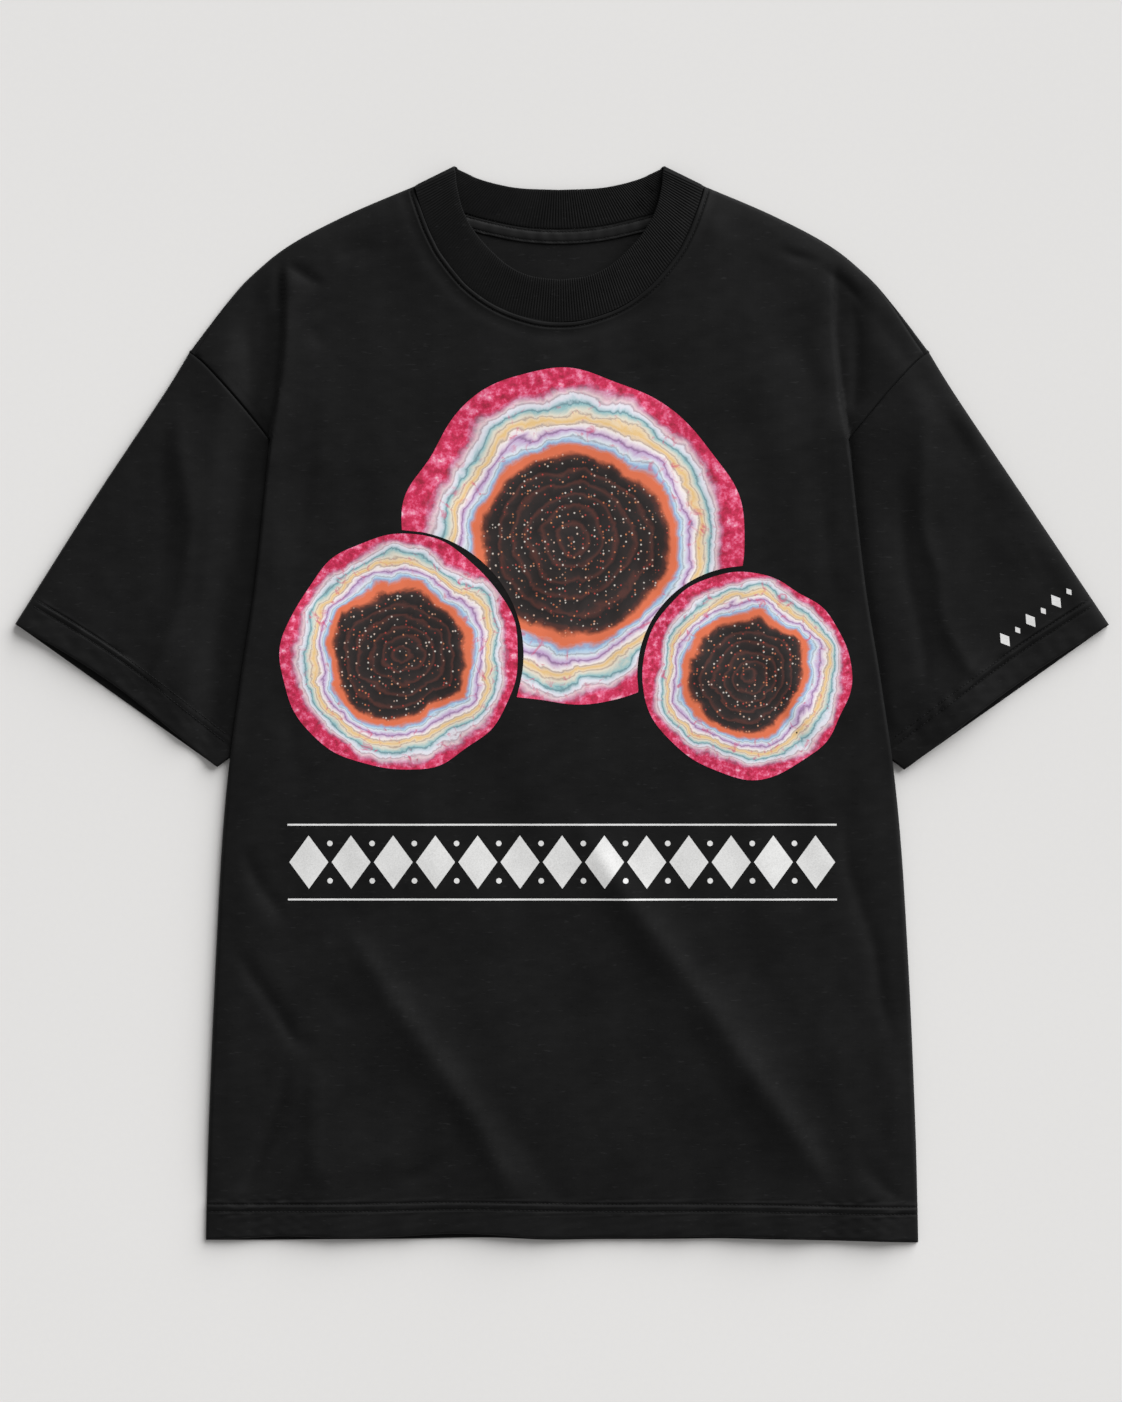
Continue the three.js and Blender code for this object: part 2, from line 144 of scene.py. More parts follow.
def catmull_rom(points, per_span=24):
    """Points of a smooth curve through the given ones."""
    p = np.array(points, float)
    p = np.vstack([p[:1], p, p[-1:]])
    t = np.linspace(0, 1, per_span, endpoint=False)[:, None]
    spans = []
    for a, b, c, d in zip(p[:-3], p[1:-2], p[2:-1], p[3:]):
        square, cube = 2 * a - 5 * b + 4 * c - d, 3 * b - a - 3 * c + d
        spans.append(0.5 * (2 * b + (c - a) * t + square * t**2 + cube * t**3))
    return np.vstack([*spans, p[-1:]])


class Line:
    """One or more stretches of points joined end to end, read by the share of the whole length."""

    def __init__(self, *stretches):
        self.points = np.vstack([stretches[0], *(s[1:] for s in stretches[1:])])
        steps = np.linalg.norm(np.diff(self.points, axis=0), axis=1)
        self.travelled = np.concatenate([[0], np.cumsum(steps)])
        self.length = self.travelled[-1]
        ends = np.cumsum([len(stretches[0])] + [len(s) - 1 for s in stretches[1:]]) - 1
        self.joints = self.travelled[ends]

    def at(self, share):
        s = np.asarray(share, float) * self.length
        return np.stack([np.interp(s, self.travelled, column) for column in self.points.T], axis=-1)

    def part(self, low, high):
        """The points between two lengths."""
        inside = (self.travelled > low + 1e-6) & (self.travelled < high - 1e-6)
        ends = self.at(np.array([low, high]) / self.length)
        return np.vstack([ends[:1], self.points[inside], ends[1:]])


def curve(points):
    return Line(catmull_rom(points))


def both_halves(points):
    """A symmetrical curve from x < 0 to x > 0."""
    right = sorted(points)
    left = [(-x, y) for x, y in reversed(right) if x > 0]
    return curve(left + right)


def nearest(places, path):
    """Distance to a path, signed + on its right-hand side, and the share along it."""
    a, b = path[:-1], path[1:]
    along = b - a
    squared = np.maximum((along**2).sum(axis=1), 1e-12)
    total = np.concatenate([[0], np.cumsum(np.sqrt(squared))])
    flat = places.reshape(-1, 2)
    best = np.full(len(flat), np.inf)
    side = np.ones(len(flat))
    share = np.zeros(len(flat))
    for i in range(len(a)):
        offset = flat - a[i]
        t = np.clip(offset @ along[i] / squared[i], 0, 1)
        gap = offset - t[:, None] * along[i]
        distance = np.hypot(gap[:, 0], gap[:, 1])
        closer = distance < best
        cross = along[i][0] * offset[:, 1] - along[i][1] * offset[:, 0]
        best[closer] = distance[closer]
        side[closer] = np.where(cross[closer] > 0, -1, 1)
        share[closer] = (total[i] + t[closer] * math.sqrt(squared[i])) / total[-1]
    shape = places.shape[:-1]
    return (best * side).reshape(shape), share.reshape(shape)


def gap_to(path, places):
    """Distance to a path."""
    return np.abs(nearest(places, path)[0])


def mirrored(plan):
    """A grid's places moved to the half where x is above 0."""
    return np.stack([np.abs(plan[..., 0]), plan[..., 1]], axis=-1)


def coons(start, end, left, right, across, along, power=1):
    """Rows of points between four border lines; a higher `power` lets the end line take over later."""
    u = across[None, :, None]
    weight = (along**power)[:, None, None]
    rows = left(along)[:, None] * (1 - u) + right(along)[:, None] * u

    def bulge(line):
        ends = line(np.array([0.0, 1.0]))
        return line(across)[None] - (ends[0] * (1 - u) + ends[1] * u)

    return rows + (1 - weight) * bulge(start) + weight * bulge(end)


def spaced(low, high, step):
    return np.linspace(low, high, max(2, int(round(abs(high - low) / step)) + 1))


def joined(*runs):
    """Rising runs as one, where each starts with the last value of the one before."""
    return np.concatenate([runs[0], *(r[1:] for r in runs[1:])])


def edge_distances(plan):
    """How far each place of a grid lies from the first and from the last place of its row."""
    return [np.linalg.norm(plan - plan[:, side], axis=-1) for side in (slice(0, 1), slice(-1, None))]


# ---------------------------------------------------------------- meshes
def grid_normals(grid):
    du = np.gradient(grid, axis=1)
    dv = np.gradient(grid, axis=0)
    normal = np.cross(du, dv)
    return normal / np.maximum(np.linalg.norm(normal, axis=-1, keepdims=True), 1e-12)


def grid_faces(rows, columns, offset=0, wrap=False, flip=False):
    r = np.arange(rows - 1)[:, None]
    c = np.arange(columns if wrap else columns - 1)[None, :]
    after = (c + 1) % columns
    corners = [r * columns + c, r * columns + after, (r + 1) * columns + after, (r + 1) * columns + c]
    faces = np.stack([np.broadcast_to(x, corners[0].shape) for x in corners], axis=-1).reshape(-1, 4)
    return (faces[:, ::-1] if flip else faces) + offset


def border(rows, columns):
    """Indices round the border of a grid, in order."""
    index = np.arange(rows * columns).reshape(rows, columns)
    return np.concatenate([index[0], index[1:, -1], index[-1, -2::-1], index[-2:0:-1, 0]])


def linked(name, data):
    """A new object of the scene."""
    made = bpy.data.objects.new(name, data)
    bpy.context.scene.collection.objects.link(made)
    return made


def mesh_object(name, points, faces, sharp=50):
    """A smoothly shaded object, whose edges of more than `sharp` degrees stay sharp."""
    mesh = bpy.data.meshes.new(name)
    mesh.from_pydata((points * METRE).tolist(), [], faces)
    mesh.validate()
    mesh.shade_smooth()
    if sharp:
        mesh.set_sharp_from_angle(angle=math.radians(sharp))
    return linked(name, mesh)


def slab_parts(upper, lower):
    """Points and faces of a closed sheet between an upper and a lower grid of the same size."""
    rows, columns = upper.shape[:2]
    count = rows * columns
    edge = border(rows, columns)
    following = np.roll(edge, -1)
    faces = [
        grid_faces(rows, columns),
        grid_faces(rows, columns, offset=count, flip=True),
        np.stack([edge, edge + count, following + count, following], axis=-1),
    ]
    return np.vstack([upper.reshape(-1, 3), lower.reshape(-1, 3)]), np.vstack(faces).tolist()


def tube_parts(outer, inner):
    """Points and faces of a tube's wall, whose columns run round it and whose rims are closed."""
    rows, columns = outer.shape[:2]
    count = rows * columns
    column = np.arange(columns)
    after = (column + 1) % columns
    rim = np.stack([column, after, after + count, column + count], axis=-1)
    faces = [
        grid_faces(rows, columns, wrap=True, flip=True),
        grid_faces(rows, columns, offset=count, wrap=True),
        rim[:, ::-1],
        rim + (rows - 1) * columns,
    ]
    return np.vstack([outer.reshape(-1, 3), inner.reshape(-1, 3)]), np.vstack(faces).tolist()


def upright(made):
    """Turns every face of a closed mesh outwards."""
    work = bmesh.new()
    work.from_mesh(made.data)
    bmesh.ops.recalc_face_normals(work, faces=work.faces)
    work.to_mesh(made.data)
    work.free()
    return made


def joined_object(name, pieces, sharp=50):
    """One object out of several closed meshes, each given as points and faces."""
    points, faces, offset = [], [], 0
    for piece_points, piece_faces in pieces:
        points.append(piece_points)
        faces.extend([corner + offset for corner in face] for face in piece_faces)
        offset += len(piece_points)
    return upright(mesh_object(name, np.vstack(points), faces, sharp))


# ---------------------------------------------------------------- soft, repeatable unevenness
class Unevenness:
    """A sum of sine waves in random directions, the same in every run."""

    def __init__(self, seed, wavelength):
        waves = 9
        chance = np.random.default_rng(seed)
        angle = chance.uniform(0, math.tau, waves)
        length = wavelength * chance.uniform(0.7, 1.6, waves)
        self.k = math.tau / length[:, None] * np.stack([np.cos(angle), np.sin(angle)], axis=-1)
        self.phase = chance.uniform(0, math.tau, waves)
        self.scale = 1 / math.sqrt(waves / 2)

    def at(self, x, y):
        total = np.zeros(np.broadcast(x, y).shape)
        for (kx, ky), phase in zip(self.k, self.phase):
            total += np.sin(kx * x + ky * y + phase)
        return total * self.scale


BROAD = Unevenness(3, 120)
MIDDLE = Unevenness(5, 46)
FINE = Unevenness(8, 17)
PUCKER = Unevenness(13, 11)


def swells(x, y, broad, middle):
    """The soft unevenness of cloth at rest."""
    return broad * BROAD.at(x, y) + middle * MIDDLE.at(x, y) + 0.085 * FINE.at(x, y)



# Soft folds of the front: where each runs, how high it stands (below 0: a valley), how wide it is
# on its left and its right, and how gently each end fades, as a share of its length.
FRONT_FOLDS = [
    (
        [(-172, -150), (-131, -216), (-98, -264), (-67, -308), (-48, -345), (-32, -376)],
        4.5, 13, 18, 0.25, 0.13,
    ),
    ([(-60, -272), (-39, -312), (-17, -350), (4, -376)], -0.9, 8, 9, 0.5, 0.1),
    (
        [(-4, -62), (47, -143), (80, -188), (113, -233), (141, -275), (174, -321), (206, -376)],
        4.9, 14, 19, 0.3, 0.13,
    ),
    ([(60, -212), (100, -262), (132, -306), (158, -340)], -0.9, 13, 10, 0.4, 0.3),
    ([(149, 10), (190, -40), (211, -74)], -1.3, 10, 12, 0.3, 0.5),
    ([(208, -70), (217, -130), (233, -178), (240, -220), (252, -262), (256, -290)], -2.3, 12, 10, 0.3, 0.3),
    ([(222, -344), (240, -360), (254, -372)], -1.6, 7, 6, 0.3, 0.2),
    ([(-243, -96), (-232, -125), (-217, -148), (-202, -166)], -2.2, 8, 7, 0.4, 0.3),
    ([(-249, -179), (-231, -205), (-214, -229), (-199, -252), (-176, -257)], -2.5, 8, 7, 0.3, 0.3),
    ([(-201, -264), (-216, -310), (-231, -347), (-246, -370)], -2.3, 8, 9, 0.3, 0.2),
    ([(-183, -262), (-186, -308), (-183, -364)], 2.0, 9, 12, 0.3, 0.15),
    ([(-186, -204), (-162, -233), (-150, -246)], -1.2, 9, 8, 0.4, 0.4),
    ([(-86, -288), (-79, -330), (-100, -348), (-146, -366)], -2.0, 9, 7, 0.3, 0.3),
    ([(-160, -350), (-140, -345), (-112, -328)], 1.5, 9, 9, 0.4, 0.4),
    ([(-171, 333), (-146, 342), (-130, 344)], -1.5, 8, 9, 0.35, 0.4),
    ([(-209, 334), (-191, 322), (-174, 312)], -2.6, 5, 6, 0.2, 0.4),
    ([(-213, 342), (-210, 320), (-212, 292)], -3.6, 6, 4, 0.3, 0.3),
    ([(-184, 285), (-176, 262)], -1.2, 7, 7, 0.5, 0.5),
    ([(163, 340), (186, 334), (204, 328)], -1.4, 6, 6, 0.4, 0.4),
    ([(204, 320), (197, 300), (192, 282)], 0.9, 6, 7, 0.4, 0.5),
    ([(196, 327), (212, 317), (228, 300)], -2.4, 6, 5, 0.3, 0.3),
    ([(219, 306), (222, 276), (222, 244), (220, 214)], -2.6, 7, 6, 0.3, 0.2),
    ([(180, 286), (188, 246), (196, 208)], -1.7, 13, 16, 0.35, 0.4),
    ([(-190, 240), (-186, 190), (-196, 120), (-206, 40)], -1.0, 14, 18, 0.4, 0.4),
    ([(192, 196), (200, 120), (212, 30)], -1.0, 16, 14, 0.4, 0.4),
    ([(-215, 18), (-200, -30), (-196, -90)], -1.4, 14, 16, 0.4, 0.4),
    ([(-232, 0), (-214, -22), (-186, -40)], 1.0, 10, 12, 0.4, 0.5),
    ([(118, 70), (160, 10), (176, -40)], -1.2, 16, 20, 0.4, 0.4),
    ([(-229, 304), (-231, 262), (-234, 228)], -1.5, 9, 9, 0.35, 0.3),
]
RIGHT_SLEEVE_FOLDS = [
    (
        [(279, 250), (286, 212), (282, 172), (277, 141), (280, 101), (288, 65), (300, 34), (313, 6)],
        2.9, 10, 13, 0.3, 0.06,
    ),
    ([(289, 228), (297, 181), (294, 145), (297, 102), (304, 70)], -1.3, 8, 9, 0.25, 0.3),
    ([(256, 130), (253, 89), (261, 52), (268, 10)], -1.3, 11, 11, 0.35, 0.3),
    ([(352, 116), (340, 96), (334, 70)], 0.9, 12, 12, 0.4, 0.4),
    ([(388, 66), (374, 58), (362, 48)], -0.9, 7, 8, 0.4, 0.4),
]
# A few soft dents inside the left of the back neck.
BACK_RIB_DENTS = [
    ([(52, 392), (60, 378), (66, 368)], -0.55, 3, 4, 0.3, 0.4),
    ([(64, 394), (72, 380)], -0.6, 3, 3, 0.3, 0.4),
]
LEFT_SLEEVE_FOLDS = [
    (
        [
            (262, 246), (271, 212), (272, 181), (270, 150), (275, 120),
            (283, 95), (286, 65), (298, 40), (314, 14),
        ],
        2.4, 11, 10, 0.3, 0.06,
    ),
    ([(258, 190), (257, 150), (258, 112), (266, 72), (272, 40), (274, 2)], -1.8, 9, 9, 0.3, 0.15),
    ([(286, 228), (304, 198), (318, 180)], -1.5, 7, 8, 0.3, 0.4),
    ([(340, 138), (352, 112), (362, 96)], 0.9, 13, 12, 0.4, 0.4),
    ([(352, 62), (346, 42), (340, 30)], -0.9, 8, 8, 0.4, 0.4),
]


def fold_heights(folds, places):
    height = np.zeros(places.shape[:-1])
    for points, top, left, right, start, end in folds:
        distance, share = nearest(places, catmull_rom(points, 6))
        width = np.where(distance < 0, left, right)
        fade = smooth(share / max(start, 1e-3)) * smooth((1 - share) / max(end, 1e-3))
        height += top * fade * ridge(distance, width)
    return height


# ---------------------------------------------------------------- the body's outline
side_line = curve(SIDE)
armhole_line = curve(ARMHOLE)
shoulder_line = curve(SHOULDER)
SEAM_INSET = 2 * FOLD_RADIUS  # how far in the shoulder seam lies at the tip
ROLL_LENGTH = 95  # along the shoulder from its tip, where the back rolls over to the seam
ROLL_START, ROLL_LEAST, ROLL_MOST = 270, 205, 90  # degrees round the roll; it ends between the last two


def roll_share(travelled):
    return smooth(1 - travelled / ROLL_LENGTH)


def roll_end(travelled):
    """How far in and how high the back's roll ends, where the front's shoulder edge meets it."""
    t = roll_share(travelled)
    angle = np.radians(mix(ROLL_LEAST, ROLL_MOST, t))
    inward = FOLD_RADIUS * (1 + np.cos(angle)) + (SEAM_INSET - FOLD_RADIUS) * t**2
    height = FOLD_RADIUS * (1 + np.sin(angle)) + 0.25 * t
    return inward, height


def inward_normals(points):
    tangent = np.gradient(points, axis=0)
    tangent /= np.linalg.norm(tangent, axis=1, keepdims=True)
    return np.stack([-tangent[:, 1], tangent[:, 0]], axis=-1)


shoulder_inset, shoulder_edge_height = roll_end(shoulder_line.travelled)
shoulder_seam = shoulder_line.points + inward_normals(shoulder_line.points) * shoulder_inset[:, None]
armhole_cut = armhole_line.part(0, armhole_line.length - SEAM_INSET)
front_side = Line(side_line.points, catmull_rom([SIDE[-1], ARMHOLE_FOOT], 6), armhole_cut, shoulder_seam)
back_side = Line(
    side_line.points, catmull_rom([SIDE[-1], ARMHOLE_FOOT], 6), armhole_line.points, shoulder_line.points
)
folded_edge = Line(side_line.points, catmull_rom([SIDE[-1], *SHOULDER_CREASE]))
sleeve_fold = catmull_rom([SHOULDER[0], *SLEEVE_FOLD_LINE, LEFT_CUFF[0]])
outer_fold = np.vstack([shoulder_line.points[::-1], sleeve_fold])


def out_by(x, y):
    """How far outside the body's folded side a place with x above 0 lies."""
    return x - np.interp(y, folded_edge.points[:, 1], folded_edge.points[:, 0])


def hem_edge(x, front):
    """y of the hem: the back's is a little uneven, and the front's draws back from it in places."""
    y = HEM_Y + 1.2 * bell(x + 62, 46) + 0.8 * bell(x - 140, 50) - 1.5 * bell(x - 262, 45)
    y = y - 0.6 * bell(x + 250, 60) - 0.8 * bell(x + 12, 24) - 1.0 * smooth((x - 110) / 50)
    if front:
        y = y + 1.0 + 2.2 * bell(x + 82, 44) + 1.7 * bell(x + 206, 26) + 0.6 * bell(x - 120, 50)
    return y


def hem_stitch_line(x):
    """The line that the front hem's rows of stitches are measured from."""
    return HEM_Y + 1.6 * bell(x + 70, 60) - 2.4 * smooth((x - 120) / 140)


def hem_lift(x):
    """How far the front's hem stands off the back's, in gentle waves."""
    waves = 2.4 * bell(x + 180, 22) + 3.9 * bell(x + 30, 30) + 3.4 * bell(x - 152, 34)
    return waves + 2.6 * bell(x - 238, 38) + 1.2 * bell(x + 258, 22)


# ---------------------------------------------------------------- heights of the sleeves
def sleeve_lift(x, y, from_top):
    """The tucked end lies over the back panel."""
    lifted = 1 - smooth((out_by(x, y) - 4) / 20)
    return 1.3 * lifted * smooth(from_top / 30)


def tube_height(lift, from_fold, from_underarm, outside, right):
    """Height of the upper cloth of a sleeve or of the shoulder's cap. It is lowest at the folded
    edges and beside the body, in a valley that is wider on the right of the shirt."""
    nearest_edge = np.minimum(from_fold, from_underarm)
    folded = FOLD_RADIUS * (1 + quarter(nearest_edge, FOLD_RADIUS))
    pressed = mix(folded, PRESSED, smooth((nearest_edge - 3) / 16))
    slowly = smooth((outside - 13) / 30)
    steeply = 1 - np.exp(-np.clip(outside - 0.5, 0, None) / 9)
    opened = 0.03 + 0.97 * np.where(right, slowly, steeply)
    puff = rise(from_fold, EDGE_ROLL) * rise(from_underarm, EDGE_ROLL) * opened
    sloping = np.where(right, 2.4, 0) * np.exp(-np.clip(outside, 0, None) / 11) * smooth(nearest_edge / 24)
    return lift + pressed + (SLEEVE_TOP_HEIGHT - lift - PRESSED) * puff + sloping


def from_folds(x, y):
    return gap_to(outer_fold, np.stack([x, y], axis=-1))


# ---------------------------------------------------------------- body panels
def side_stops(side, hem, step, armhole_step, shoulder_step, neck):
    """Row positions up the side, armhole and shoulder: close together at the hem's stitches and
    at the neck, whose runs are given from the hem's edge and from the neck's."""
    side_end, tuck_end, armhole_end, whole = side.joints
    return (
        joined(
            hem,
            spaced(hem[-1], side_end, step),
            spaced(side_end, tuck_end, step),
            spaced(tuck_end, armhole_end, armhole_step),
            spaced(armhole_end, whole - neck[-1], shoulder_step),
            whole - neck[::-1],
        )
        / whole
    )


def panel_plan(side, neck, across, along, front):
    """A body panel's grid of places, from its hem to its neck. Both sides follow the hem's ends."""

    def hem_line(u):
        x = mix(-HEM_HALF_WIDTH, HEM_HALF_WIDTH, u)
        return np.stack([x, hem_edge(x, front)], axis=-1)

    lift = hem_line(np.array([0.0, 1.0]))[:, 1] - HEM_Y

    def side_edge(v, sign, shift):
        points = side.at(v)
        points[..., 1] += shift * (1 - smooth(v * side.length / 60))
        return points * np.array([sign, 1])

    return coons(
        start=hem_line,
        end=both_halves(neck).at,
        left=lambda v: side_edge(v, -1, lift[0]),
        right=lambda v: side_edge(v, 1, lift[1]),
        across=across,
        along=along,
        power=1.5,
    )


def edge_weighted(edges, step, width):
    """Column positions across a panel, close together at both side edges."""
    edges = np.array(edges) / width
    middle = spaced(edges[-1], 1 - edges[-1], step / width)
    return joined(edges, middle, 1 - edges[::-1])


def front_edge_heights(plan, along):
    """Outside height of the front along its side, armhole and shoulder edges, one value a row,
    and how far each row's edge is rolled under (1) or sewn level to its neighbour (0)."""
    edge = plan[:, -1]
    travelled = along * front_side.length
    side_end, tuck_end, armhole_end = front_side.joints[:3]
    tip = np.array(SHOULDER[0])
    from_tip = np.linalg.norm(edge - tip, axis=1)
    lift = sleeve_lift(edge[:, 0], edge[:, 1], from_tip)
    level = tube_height(lift, from_tip, 90.0, out_by(edge[:, 0], edge[:, 1]), False)
    over_cuff = 3.0 * smooth((edge[:, 1] + 85) / 38)
    over_sleeve = 3.5 * smooth((edge[:, 1] + 60) / 35)
    base = 1.15 + HEM_TURN * (1 - smooth((travelled - 26) / 4))
    folded = base + over_cuff + over_sleeve
    into_armhole = smooth((travelled - side_end - 6) / (tuck_end - side_end - 8))
    height = mix(folded, level, into_armhole)
    rolled = 1 - into_armhole
    on_shoulder = travelled > armhole_end
    past = np.clip(travelled - armhole_end, 0, None)
    shoulder = np.interp(past, shoulder_line.travelled, shoulder_edge_height)
    blend = smooth(past / 14)
    height = np.where(on_shoulder, mix(level, shoulder, blend), height)
    rolled = np.where(on_shoulder, 1 - roll_share(past), rolled)
    return height, rolled


def neck_relief(distance):
    """The seam allowance pressed outward round the neck, held by one row of stitches."""
    allowance = 0.6 * smooth(distance / 0.9) * (1 - smooth((distance - 2.5) / 1.0))
    grooves = 0.9 * bell(distance, 0.5) + 0.85 * bell(distance - NECK_STITCHES, 0.75)
    return allowance - grooves + 0.2 * bell(distance - 5.4, 1.2) - 0.5 * bell(distance - 10, 4.5)


def hem_relief(distance, rows, turn):
    """Height that a turned hem adds: a soft step above it, and two stitched grooves with a welt
    between them."""
    low, high = rows
    step = turn * (1 - smooth((distance - high - 0.2) / 3.2))
    grooves = 0.65 * bell(distance - low, 0.75) + 0.95 * bell(distance - high, 0.8)
    return step - grooves + 0.5 * bell(distance - mix(low, high, 0.62), 1.5)


def thinned(distance, thickness):
    """Cloth thickness next to the folded edge of a hem."""
    return thickness * quarter(distance + 0.05, 0.9)


def with_height(plan, z):
    return np.concatenate([plan, np.asarray(z)[..., None]], axis=-1)


def above_crease(plan, z, from_edge):
    """From the armhole's foot up, the folded side runs on as a step: the shoulder's cap lies lower.
    On the right of the shirt the step is a raised ridge whose far side slopes down gently."""
    x, y, right = np.abs(plan[..., 0]), plan[..., 1], plan[..., 0] < 0
    outside = out_by(x, y)
    strength = smooth((y - 170) / 14) * (1 - smooth((y - 302) / 36))
    lip = np.where(right, 2.5 * ridge(outside, 17), -0.6 * bell(outside, 6) * smooth((y - 196) / 20))
    body = np.maximum(z, mix(z, BODY_TOP + 0.2, strength * smooth(from_edge / 2.5))) + lip * strength
    lift = sleeve_lift(x, y, np.hypot(x - SHOULDER[0][0], y - SHOULDER[0][1]))
    cap = tube_height(lift, from_folds(x, y), 90.0, outside, right)
    slope = 2.2 * np.exp(-np.clip(outside, 0, None) / 12) * smooth(from_edge / 26)
    cap = mix(z, cap + np.where(right, slope, 0), strength)
    drop = 3.2
    inside = 1 - smooth(outside / drop + 0.5)
    return mix(cap, body, mix(1, inside, smooth((y - 172) / 10)))


def kept_above(z, lowest):
    """Heights that level off softly where a crease would press the front into the back."""
    return lowest + 0.35 * np.logaddexp(0, (z - lowest) / 0.35)


def lower_shoulder(plan, from_edge, from_neck):
    """How much flatter than the chest the cloth lies next to the shoulder's edge."""
    from_shoulder = gap_to(shoulder_line.points, mirrored(plan))
    from_armhole = gap_to(armhole_line.points, mirrored(plan))
    apart = smooth((from_neck - 6) / 50) * smooth((from_armhole - 4) / 40)
    return 2.6 * smooth(from_edge / 26) * (1 - smooth((from_shoulder - 26) / 110)) * apart


def front_plan():
    """The front panel's grid of places, and the share of its side line that each row lies at."""
    by_edge = np.array([0, 0.15, 0.4, 0.8, 1.4, 2.1, 3, 4.2, 6, 8, 10, 12])
    across = edge_weighted(joined(by_edge, spaced(12, 76, 2.15)), 5.2, 2 * HEM_HALF_WIDTH)
    by_hem = np.array([0, 0.3, 0.7, 1.2, 1.8, 2.6])
    hem_rows = joined(by_hem, spaced(2.6, 15.4, 2.3), spaced(15.4, 29.6, 0.72), spaced(29.6, 36, 1.6))
    neck_rows = joined(spaced(0, 16, 0.8), spaced(16, 34, 1.9))
    along = side_stops(front_side, hem_rows, 4.6, 2.4, 3.4, neck_rows)
    return panel_plan(front_side, NECK_SEAM, across, along, front=True), along


def front_lying(plan, along, from_edge, from_hem):
    """Height of the front's cloth before its folds and seams."""
    x, y = plan[..., 0], plan[..., 1]
    edge_height, rolled = (values[:, None] for values in front_edge_heights(plan, along))
    top = mix(LOW_TOP, BODY_TOP, smooth((y + 150) / 120))
    lying = mix(np.minimum(HEM_TOP + hem_lift(x), top), top, smooth(from_hem / 80))
    roll = 2.2 + 3.1 * (1 - smooth((y + 85) / 38)) * smooth((from_hem - 20) / 60)
    z = edge_height + roll * quarter(from_edge, 2.0 + 0.25 * roll) * rolled
    z = z + (lying - edge_height - roll * rolled) * rise(from_edge, EDGE_ROLL)
    return above_crease(plan, z, from_edge)


def front_cloth():
    plan, along = front_plan()
    x, y = plan[..., 0], plan[..., 1]
    from_edge = np.minimum(*edge_distances(plan))
    from_hem = y - hem_edge(x, True)
    from_neck = gap_to(both_halves(NECK_SEAM).points, plan)
    settled = smooth(from_edge / 18)

    z = front_lying(plan, along, from_edge, from_hem)
    z = z - lower_shoulder(plan, from_edge, from_neck)
    z = z + fold_heights(FRONT_FOLDS, plan) * smooth(from_edge / 26)
    z = z + swells(x, y, 0.42, 0.32) * settled
    z = kept_above(z, 2.5 * smooth(from_edge / 12))

    z = z + neck_relief(from_neck)
    z = z - seam_relief(gap_to(armhole_cut, mirrored(plan)))
    rolled_seam = shoulder_seam[: len(shoulder_seam) // 2]
    z = z - 0.5 * bell(gap_to(rolled_seam, mirrored(plan)), 0.9)

    from_line = y - hem_stitch_line(x)
    in_hem = 1 - smooth((from_line - 29) / 6)
    z = z + hem_relief(from_line, HEM_STITCHES, 0.35)
    z = z - 1.4 * (1 - quarter(from_hem + 0.1, EDGE_ROUND)) * smooth(from_edge / 12)
    z = z + 0.17 * PUCKER.at(x, 2.5 * y) * in_hem * settled

    thickness = CLOTH + HEM_TURN * (1 - smooth((from_line - 27) / 2))
    full = thinned(from_hem, thickness)
    upper = with_height(plan, z - (thickness - full) / 2)
    lower = upper - grid_normals(upper) * full[..., None]
    return mesh_object("front_cloth", *slab_parts(upper, lower))


def seam_relief(distance):
    """The groove of a sewn seam and the allowance beside it."""
    return 1.2 * bell(distance, 0.6) - 0.1 * bell(distance - 3.0, 1.8)


def back_plan():
    """The back panel's grid of places. Along the rolled stretch of the shoulder the flat panel
    starts where the roll leaves it."""
    across = edge_weighted([0, 0.2, 0.5, 0.9, 1.6, 3, 6, 12], 6.5, 2 * HEM_HALF_WIDTH)
    along = side_stops(back_side, spaced(0, 36, 1.2), 6.5, 4, 5, spaced(0, 34, 2.2))
    plan = panel_plan(back_side, BACK_NECK, across, along, front=False)
    travelled = along * back_side.length - back_side.joints[2]
    inset = np.where(travelled > 0, FOLD_RADIUS * roll_share(np.clip(travelled, 0, None)), 0)
    inset *= smooth((travelled + 2) / 2)
    for edge, beside in ((0, 1), (-1, -2)):
        direction = plan[:, beside] - plan[:, edge]
        direction /= np.linalg.norm(direction, axis=1, keepdims=True)
        width = np.linalg.norm(plan[:, 0] - plan[:, -1], axis=1)[:, None, None]
        from_edge = np.linalg.norm(plan - plan[:, [edge]], axis=-1)[..., None]
        fading = np.clip(1 - from_edge / width * 4, 0, 1)
        plan = plan + direction[:, None] * inset[:, None, None] * fading
    return plan


